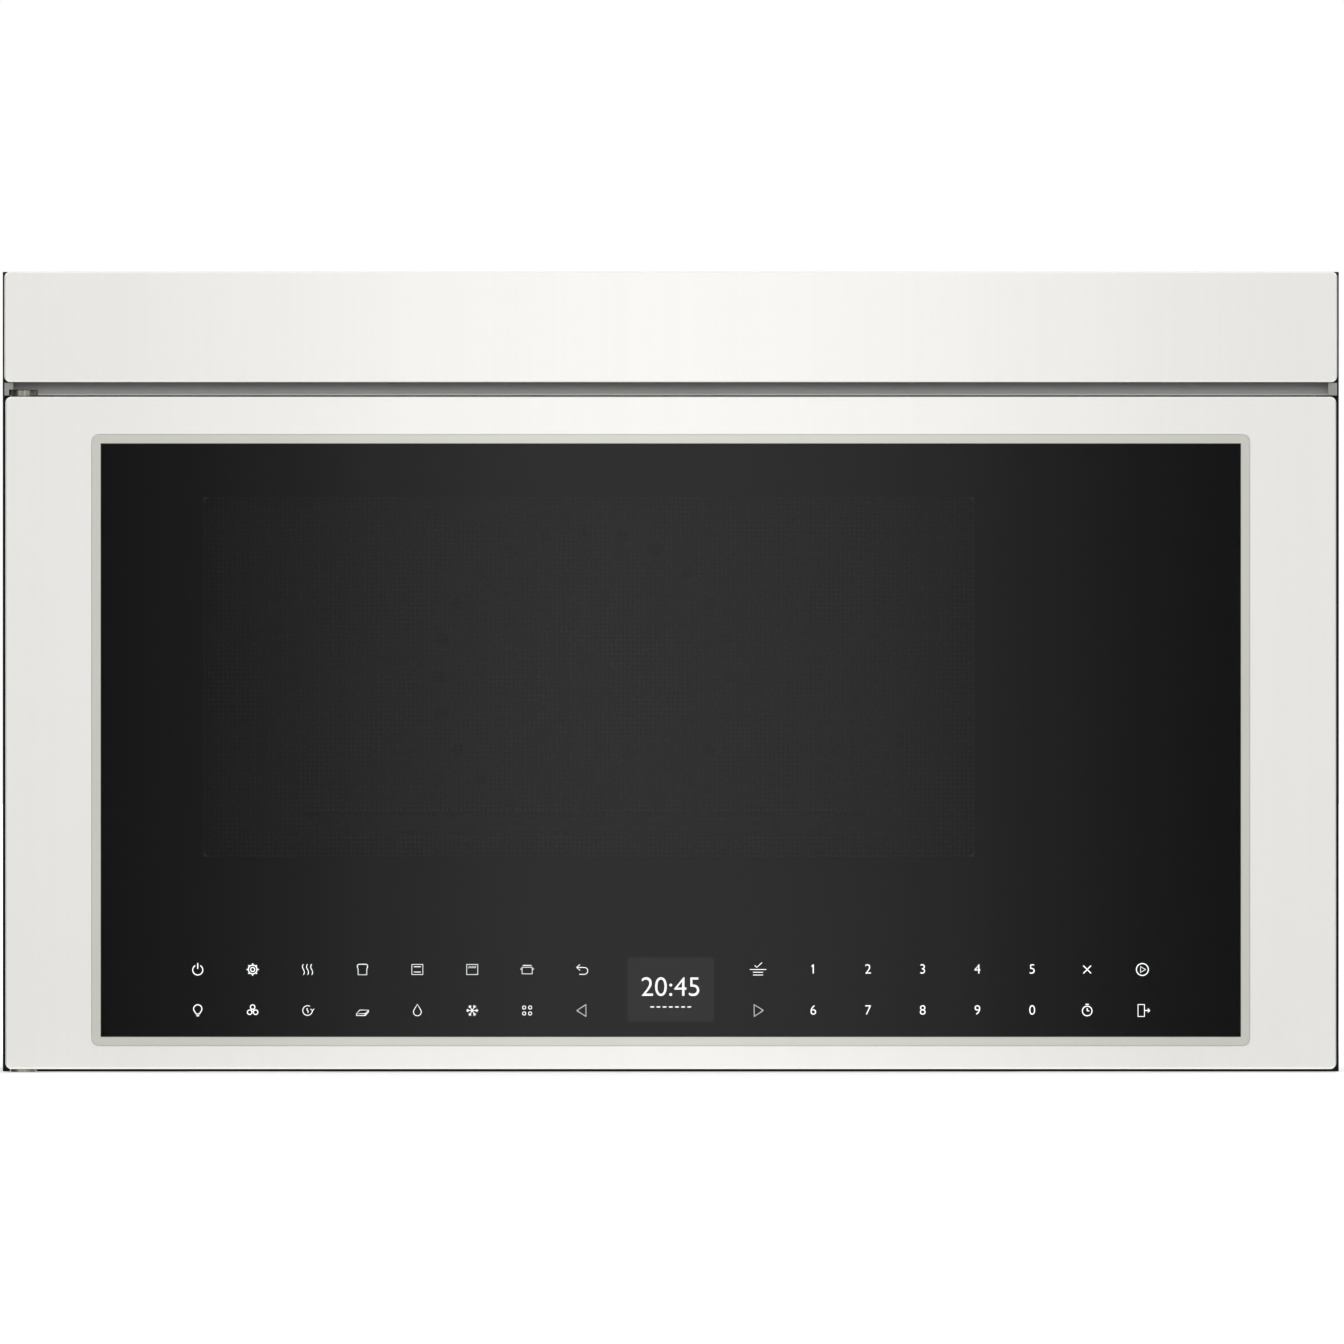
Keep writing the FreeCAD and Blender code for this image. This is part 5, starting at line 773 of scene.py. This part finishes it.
square = [(-2.4, -2.2), (2.4, -2.2), (2.4, 2.2), (-2.4, 2.2), (-2.4, -2.2)]
drop_round = arc(0, -0.6, 1.7, 150, 390, 22)
sixths = range(0, 360, 60)
blade_angles = (math.pi / 2, math.pi * 7 / 6, math.pi * 11 / 6)
twigs = []
for turn in [math.radians(angle) for angle in sixths]:
    for lean in (-0.28, 0.28):
        root = (1.6 * math.cos(turn), 1.6 * math.sin(turn))
        twigs.append([root, (2.3 * math.cos(turn + lean), 2.3 * math.sin(turn + lean))])
signs = {
    "display": [arc(0, -0.2, 2.2, 120, 420), [(0, 0.3), (0, 2.8)]],
    "settings": [ring_line(0, 0, 0.9), ring_line(0, 0, 1.9)]
    + [ray(angle, 1.9, 2.7) for angle in range(0, 360, 45)],
    "air": [wave_line(x, 4.6, 0.45) for x in (-1.8, 0, 1.8)],
    "toast": [
        [(-1.9, -2.3), (1.9, -2.3), (1.9, 0.5)]
        + arc(1.3, 1.3, 1.0, -50, 90, 10)
        + arc(-1.3, 1.3, 1.0, 90, 230, 10)
        + [(-1.9, 0.5), (-1.9, -2.3)]
    ],
    "bake": [square, [(-1.5, -1.1), (1.5, -1.1)], [(-1.5, 1.2), (1.5, 1.2)]],
    "broil": [
        square,
        [(-1.6, 0.6), (-1.0, 1.4), (-0.3, 0.6), (0.3, 1.4), (1.0, 0.6), (1.6, 1.4)],
    ],
    "cook": [
        [(-2.2, 1.0), (-2.2, -1.9), (2.2, -1.9), (2.2, 1.0), (-2.2, 1.0)],
        [(-3.0, 0.2), (-2.2, 0.2)],
        [(2.2, 0.2), (3.0, 0.2)],
        [(-1.9, 1.8), (1.9, 1.8)],
    ],
    "back": [
        [(-0.9, 2.2), (-2.4, 0.9), (-0.9, -0.4)],
        [(-2.4, 0.9), (1.0, 0.9)] + arc(1.0, -0.6, 1.5, 90, -90, 12) + [(-1.2, -2.1)],
    ],
    # the upstroke of the digit 1, which the letters leave out
    "flag": [[(-0.85, 1.2), (-0.1, 1.95)]],
    "light": [
        arc(0, 0.7, 1.8, -50, 230, 22),
        [(-1.15, -0.7), (-0.9, -1.3)],
        [(1.15, -0.7), (0.9, -1.3)],
        [(-0.9, -1.5), (0.9, -1.5)],
        [(-0.6, -2.3), (0.6, -2.3)],
    ],
    "fan": [ring_line(0, 0, 0.55)]
    + [ring_line(1.5 * math.cos(turn), 1.5 * math.sin(turn), 1.0, 16) for turn in blade_angles],
    "reheat": [
        arc(0, 0, 2.1, 60, 360, 22),
        [(1.3, 0.7), (2.1, 0.0), (2.9, 0.7)],
        wave_line(0, 2.0, 0.35),
    ],
    "soften": [
        [(-2.6, -1.4), (1.2, -1.4), (2.6, 0.2), (-1.2, 0.2), (-2.6, -1.4)],
        [(-2.6, -1.4), (-2.6, -2.2), (1.2, -2.2), (2.6, -0.6), (2.6, 0.2)],
        [(1.2, -1.4), (1.2, -2.2)],
    ],
    "melt": [drop_round + [(0, 2.7), drop_round[0]]],
    "defrost": [ray(angle, 0, 2.6) for angle in sixths] + twigs,
    "modes": [ring_line(x, z, 0.7) for x in (-1.3, 1.3) for z in (-1.3, 1.3)],
    "left": [[(-2.3, 0), (1.7, 2.6), (1.7, -2.6), (-2.3, 0)]],
    "confirm": [
        [(-1.5, 1.8), (-0.5, 0.9), (1.7, 3.0)],
        [(-3.6, 0), (3.6, 0)],
        [(-2.2, -1.2), (2.2, -1.2)],
        [(-2.2, -2.4), (2.2, -2.4)],
    ],
    "right": [[(2.3, 0), (-1.7, 2.6), (-1.7, -2.6), (2.3, 0)]],
    "cancel": [[(-1.7, -1.7), (1.7, 1.7)], [(-1.7, 1.7), (1.7, -1.7)]],
    "timer": [
        ring_line(0, -0.2, 2.1),
        [(0, -0.2), (0, 1.0)],
        [(0, -0.2), (0.9, -0.2)],
        [(-0.7, 2.7), (0.7, 2.7)],
    ],
    "start": [ring_line(0, 0, 2.6), [(-0.8, 1.3), (1.4, 0), (-0.8, -1.3), (-0.8, 1.3)]],
    "door": [
        [(-1.9, -2.6), (-1.9, 2.6), (0.9, 2.6), (0.9, -2.6), (-1.9, -2.6)],
        [(0.9, 0), (3.2, 0)],
        [(2.4, 0.8), (3.2, 0), (2.4, -0.8)],
    ],
}
rows = (
    (row_high, ("display", "settings", "air", "toast", "bake", "broil", "cook", "back")),
    (row_low, ("light", "fan", "reheat", "soften", "melt", "defrost", "modes", "left")),
)
marks_at = []
for level, names in rows:
    for number, name in enumerate(names):
        marks_at.append((name, first_sign + number * sign_pitch, level, number < 2))
marks_at += [
    ("confirm", confirm_column, row_high, False),
    ("right", confirm_column, row_low, False),
    ("cancel", cancel_column, row_high, True),
    ("timer", cancel_column, row_low, True),
    ("flag", first_digit, row_high, False),
    ("start", start_column, row_high, True),
    ("door", start_column, row_low, True),
]


def flat_ink(outlines):
    """The mesh of a curve or of letters, as a bmesh. The curve itself is taken away."""
    bpy.context.scene.collection.objects.link(outlines)
    bpy.context.view_layer.update()
    view = bpy.context.evaluated_depsgraph_get()
    drawn = bpy.data.meshes.new_from_object(outlines.evaluated_get(view))
    bpy.data.objects.remove(outlines)
    bm = bmesh.new()
    bm.from_mesh(drawn)
    bpy.data.meshes.remove(drawn)
    return bm


def line_signs(name, heavy, thickness):
    """All the signs of one weight, drawn as fine round lines and then pressed flat."""
    curve = bpy.data.curves.new(name, "CURVE")
    curve.dimensions = "3D"
    curve.bevel_depth = thickness
    curve.bevel_resolution = 1
    curve.use_fill_caps = True
    for sign, x, z, bold in marks_at:
        if bold == heavy:
            for points in signs[sign]:
                closed = points[0] == points[-1] or math.dist(points[0], points[-1]) < 1e-6
                path = points[:-1] if closed else points
                spline = curve.splines.new("POLY")
                spline.points.add(len(path) - 1)
                spline.use_cyclic_u = closed
                for point, (u, v) in zip(spline.points, path):
                    point.co = (x + u * sign_size, 0.0, z + v * sign_size, 1.0)
    bm = flat_ink(bpy.data.objects.new(name, curve))
    bmesh.ops.scale(bm, vec=(1.0, pressed_flat, 1.0), verts=bm.verts)
    bmesh.ops.translate(bm, vec=(0.0, legend_face, 0.0), verts=bm.verts)
    piece = into_frame(bm, name, glowing_legend_ink, "door")


line_signs("legend_signs_fine", False, fine_line)
line_signs("legend_signs_bold", True, bold_line)


def flat_text(text, size, thinned, place):
    """Upright letters as a thin sheet, centred on a place."""
    letters = bpy.data.curves.new("letters", "FONT")
    letters.body = text
    letters.align_x = "CENTER"
    letters.align_y = "CENTER"
    letters.size = size
    letters.offset = -thinned
    bm = flat_ink(bpy.data.objects.new("letters", letters))
    stand_up(bm)
    bmesh.ops.translate(bm, vec=place, verts=bm.verts)
    return bm


digits = bmesh.new()
for number, text in enumerate("1234567890"):
    column = first_digit + (number % 5) * digit_pitch
    level = row_high if number < 5 else row_low
    one = flat_text(text, digit_size, 0.00006, (column, legend_face - 0.00001, level))
    holding = bpy.data.meshes.new("digit")
    one.to_mesh(holding)
    one.free()
    digits.from_mesh(holding)
    bpy.data.meshes.remove(holding)
digit_piece = into_frame(digits, "legend_digits", glowing_legend_ink, "door")

# ---- Display --------------------------------------------------------------------------------
# A clock display shines through its window in the print. The panel glows faintly. The digits
# are lit white, and so are seven short bars under them, one for each day of the week.

panel_glow = Finish("display face", screen_colour(40, 41, 42), 0.3)
light_up(panel_glow, 0.055)
film = panel_glow.effect(powder_coat, Size=1200.0)
panel_glow.colour(film["Mottle"], screen_colour(40, 41, 42), screen_colour(46, 47, 48), 0.3, 0.7)
dress(panel_glow, "display_module")

lit = Finish("lit digits", screen_colour(240, 240, 240), 0.5)
light_up(lit, 5.5)
lit.material.cycles.emission_sampling = "NONE"
pixel = lit.effect(powder_coat, Size=3000.0)
lit.colour(pixel["Mottle"], screen_colour(236, 236, 236), screen_colour(246, 246, 246), 0.3, 0.7)
clock_size, clock_level = 0.0155, 0.0477
lit_face = display_low.y - 0.00006
clock = flat_text("20:45", clock_size, 0.0001, (0.0, lit_face, clock_level))
clock_piece = into_frame(clock, "clock_digits", lit, "door")
days, day_pitch, day_level = 7, 0.0035, 0.0368
bar_long, bar_thick, bar_high = 0.0021, 0.00004, 0.0007
week = bmesh.new()
for day in range(days):
    bar = bmesh.ops.create_cube(week, size=1.0)["verts"]
    bmesh.ops.scale(week, vec=(bar_long, bar_thick, bar_high), verts=bar)
    shift = ((day - (days - 1) / 2) * day_pitch, lit_face, day_level)
    bmesh.ops.translate(week, vec=shift, verts=bar)
week_piece = into_frame(week, "day_bars", lit, "door")

# ---- Door screen ----------------------------------------------------------------------------
# A sheet punched with close rows of holes keeps the microwaves in and lets the eye through. It
# is painted matt black and spot welded over the opening of the door's inner pan.

screen_paint = Finish("matt screen paint", screen_colour(66, 66, 67), 0.6)
coat = screen_paint.effect(powder_coat, Size=900.0)
screen_paint.colour(coat["Mottle"], screen_colour(63, 63, 64), screen_colour(69, 69, 70), 0.3, 0.7)
screen_paint.relief(coat["Height"], 0.0001, 0.4)
screen_low, screen_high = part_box("door_screen")
hole_pitch, web = 0.0026, 0.00052
screen_wide, screen_tall = screen_high.x - screen_low.x, screen_high.z - screen_low.z
holes_x, holes_z = round(screen_wide / hole_pitch), round(screen_tall / hole_pitch)
centre_x, centre_z = (screen_low.x + screen_high.x) / 2, (screen_low.z + screen_high.z) / 2
punched = bmesh.new()
bmesh.ops.create_grid(punched, x_segments=holes_x, y_segments=holes_z, size=0.5)
bmesh.ops.scale(punched, vec=(screen_wide, screen_tall, 1.0), verts=punched.verts)
inset = bmesh.ops.inset_individual(
    punched, faces=punched.faces[:], thickness=web, use_even_offset=True
)
webs = set(inset["faces"])
holes = [face for face in punched.faces if face not in webs]
bmesh.ops.delete(punched, geom=holes, context="FACES")
stand_up(punched)
bmesh.ops.translate(punched, vec=(centre_x, screen_low.y, centre_z), verts=punched.verts)
screen = into_frame(punched, "punched_door_screen", screen_paint, "door")
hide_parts("door_screen")

# ---- Inner glass and door liner -------------------------------------------------------------
# A clear glass closes the screen on the oven side, behind the rim of the moulded liner. The
# liner snaps into the door pan and hides its folded edge.

dress(clear_glass("inner door glass", (0.9, 0.94, 0.93, 1.0)), "inner_glass")
liner_plastic = moulded("liner plastic", screen_colour(44, 44, 46), screen_colour(54, 54, 56), 0.4)
dress(liner_plastic, "door_liner")

# ---- Studio ---------------------------------------------------------------------------------
# A pale floor under soft light. A broad curtain of light before the door is brightest in the
# middle, and a dark card at each side draws the edges of the metal.


def stage_sheet(name, material, size, turn, place, unseen_by):
    """A plain sheet of the studio, which some kinds of ray don't see."""
    bm = bmesh.new()
    bmesh.ops.create_grid(bm, x_segments=1, y_segments=1, size=0.5)
    bmesh.ops.scale(bm, vec=(size[0], size[1], 1.0), verts=bm.verts)
    bmesh.ops.rotate(bm, cent=(0, 0, 0), matrix=turn, verts=bm.verts)
    bmesh.ops.translate(bm, vec=place, verts=bm.verts)
    mesh = bpy.data.meshes.new(name)
    bm.to_mesh(mesh)
    bm.free()
    mesh.materials.append(material)
    sheet = bpy.data.objects.new(name, mesh)
    bpy.context.scene.collection.objects.link(sheet)
    for kind in unseen_by:
        setattr(sheet, "visible_" + kind, False)


def bare_tree(owner):
    """Empties the nodes of a material or a world, and gives the calls that add and join them."""
    owner.use_nodes = True
    nodes, links = owner.node_tree.nodes, owner.node_tree.links
    nodes.clear()
    return nodes.new, links.new


pale = bpy.data.materials.new("pale floor")
add, join = bare_tree(pale)
matt = add("ShaderNodeBsdfDiffuse")
matt.inputs["Color"].default_value = (0.8, 0.8, 0.8, 1.0)
glow = add("ShaderNodeEmission")
away = add("ShaderNodeVectorMath")
away.operation = "LENGTH"
join(add("ShaderNodeTexCoord").outputs["Object"], away.inputs[0])
brighter = add("ShaderNodeMapRange")
brighter.inputs["From Min"].default_value = 0.8
brighter.inputs["From Max"].default_value = 4.0
brighter.inputs["To Min"].default_value = 0.5
brighter.inputs["To Max"].default_value = 1.0
join(away.outputs["Value"], brighter.inputs["Value"])
join(brighter.outputs["Result"], glow.inputs["Strength"])
both = add("ShaderNodeAddShader")
lit_matt = add("ShaderNodeMixShader")
light_path = add("ShaderNodeLightPath")
join(matt.outputs[0], both.inputs[0])
join(glow.outputs[0], both.inputs[1])
join(light_path.outputs["Is Camera Ray"], lit_matt.inputs[0])
join(matt.outputs[0], lit_matt.inputs[1])
join(both.outputs[0], lit_matt.inputs[2])
clear = add("ShaderNodeBsdfTransparent")
sided = add("ShaderNodeMixShader")
join(add("ShaderNodeNewGeometry").outputs["Backfacing"], sided.inputs[0])
join(lit_matt.outputs[0], sided.inputs[1])
join(clear.outputs[0], sided.inputs[2])
surface = add("ShaderNodeOutputMaterial")
join(sided.outputs[0], surface.inputs["Surface"])
level_turn = Matrix.Identity(3)
hidden_from = ("glossy", "transmission", "shadow")
stage_sheet("floor", pale, (120.0, 120.0), level_turn, (0.0, 0.0, -0.0006), hidden_from)

curtain_side = 3.6
cloth = bpy.data.materials.new("light curtain")
add, join = bare_tree(cloth)
place = add("ShaderNodeTexCoord").outputs["Object"]
split = add("ShaderNodeSeparateXYZ")
join(place, split.inputs[0])
spread = add("ShaderNodeMapRange")
spread.inputs["From Min"].default_value = -curtain_side / 2
spread.inputs["From Max"].default_value = curtain_side / 2
join(split.outputs["X"], spread.inputs["Value"])
fade = add("ShaderNodeValToRGB")
fade.color_ramp.interpolation = "CARDINAL"
reach = (
    (-1.8, 0.8),
    (-0.7, 0.5),
    (-0.35, 0.19),
    (-0.2, 0.72),
    (-0.12, 1.08),
    (-0.02, 1.27),
    (0.13, 1.0),
    (0.2, 0.66),
    (0.35, 0.17),
    (0.7, 0.5),
    (1.8, 0.8),
)
stops = [(0.5 + x / curtain_side, level) for x, level in reach]
brightest = 1.5
ramp = fade.color_ramp.elements
while len(ramp) < len(stops):
    ramp.new(0.5)
for element, (position, level) in zip(ramp, stops):
    element.position = position
for element, (position, level) in zip(ramp, stops):
    share = level / brightest
    element.color = (share, share, share, 1.0)
join(spread.outputs["Result"], fade.inputs[0])
shine = add("ShaderNodeEmission")
shine.inputs["Strength"].default_value = brightest
join(fade.outputs[0], shine.inputs["Color"])
surface = add("ShaderNodeOutputMaterial")
join(shine.outputs[0], surface.inputs["Surface"])
face_door = Matrix.Rotation(-math.pi / 2, 3, "X")
hidden_from = ("camera", "transmission", "shadow")
place = (0.0, -1.7, 0.6)
stage_sheet("light_curtain", cloth, (curtain_side, curtain_side), face_door, place, hidden_from)

dark = bpy.data.materials.new("dark card")
add, join = bare_tree(dark)
felt = add("ShaderNodeBsdfDiffuse")
felt.inputs["Color"].default_value = (0.01, 0.01, 0.01, 1.0)
surface = add("ShaderNodeOutputMaterial")
join(felt.outputs[0], surface.inputs["Surface"])
hidden_from = ("camera", "diffuse", "transmission", "shadow")
for name, side in (("left_card", -1.0), ("right_card", 1.0)):
    face_in = Matrix.Rotation(-side * math.pi / 2, 3, "Y")
    place = (side * curtain_side / 2, -0.2, 0.23)
    stage_sheet(name, dark, (1.6, 3.0), face_in, place, hidden_from)


def soft_lamp(name, place, aim, width, height, power):
    """A square soft lamp that looks at a point."""
    data = bpy.data.lights.new(name, "AREA")
    data.shape = "RECTANGLE"
    data.size = width
    data.size_y = height
    data.energy = power
    lamp = bpy.data.objects.new(name, data)
    lamp.location = place
    lamp.rotation_euler = (Vector(aim) - Vector(place)).to_track_quat("-Z", "Y").to_euler()
    lamp.visible_camera = False
    lamp.visible_glossy = False
    lamp.visible_transmission = False
    bpy.context.scene.collection.objects.link(lamp)


middle = (0.0, 0.0, 0.22)
soft_lamp("front_lamp", (0.0, -4.4, 0.85), middle, 3.0, 1.5, 80.0)
soft_lamp("high_left_lamp", (-2.2, -2.2, 2.6), middle, 2.2, 2.2, 18.0)
soft_lamp("high_right_lamp", (2.4, -1.6, 2.2), middle, 2.0, 2.0, 12.0)
soft_lamp("back_lamp", (0.8, 2.8, 2.4), middle, 2.6, 2.0, 60.0)
soft_lamp("low_lamp", (0.0, -0.2, -2.4), middle, 2.6, 2.0, 26.0)

world = bpy.data.worlds.new("studio")
bpy.context.scene.world = world
add, join = bare_tree(world)
light_path = add("ShaderNodeLightPath")
seen = add("ShaderNodeMath")
seen.operation = "MAXIMUM"
join(light_path.outputs["Is Camera Ray"], seen.inputs[0])
seen_also = add("ShaderNodeMath")
seen_also.operation = "MAXIMUM"
join(light_path.outputs["Is Glossy Ray"], seen_also.inputs[0])
join(light_path.outputs["Is Transmission Ray"], seen_also.inputs[1])
join(seen_also.outputs[0], seen.inputs[1])
strength = add("ShaderNodeMapRange")
strength.inputs["To Min"].default_value = 0.42
strength.inputs["To Max"].default_value = 1.0
join(seen.outputs[0], strength.inputs["Value"])
sky = add("ShaderNodeBackground")
sky.inputs["Color"].default_value = (1.0, 1.0, 1.0, 1.0)
join(strength.outputs["Result"], sky.inputs["Strength"])
surface = add("ShaderNodeOutputWorld")
join(sky.outputs[0], surface.inputs["Surface"])

# ---- Camera ---------------------------------------------------------------------------------
# It stands far off, level with the middle of the object, behind a very long lens, because the
# photograph shows no perspective.

lens_length, sensor_width, view_width = 1400.0, 36.0, 0.7623
aside, level = 0.0007, 0.2268
distance = view_width * lens_length / sensor_width
camera_data = bpy.data.cameras.new("camera")
camera_data.lens = lens_length
camera_data.sensor_width = sensor_width
camera_data.clip_end = 90.0
camera = bpy.data.objects.new("camera", camera_data)
camera.location = (aside, cad_box[0].y - distance, level)
camera.rotation_euler = (math.pi / 2, 0.0, 0.0)
bpy.context.scene.collection.objects.link(camera)
bpy.context.scene.camera = camera
bpy.context.scene.view_settings.view_transform = "Standard"
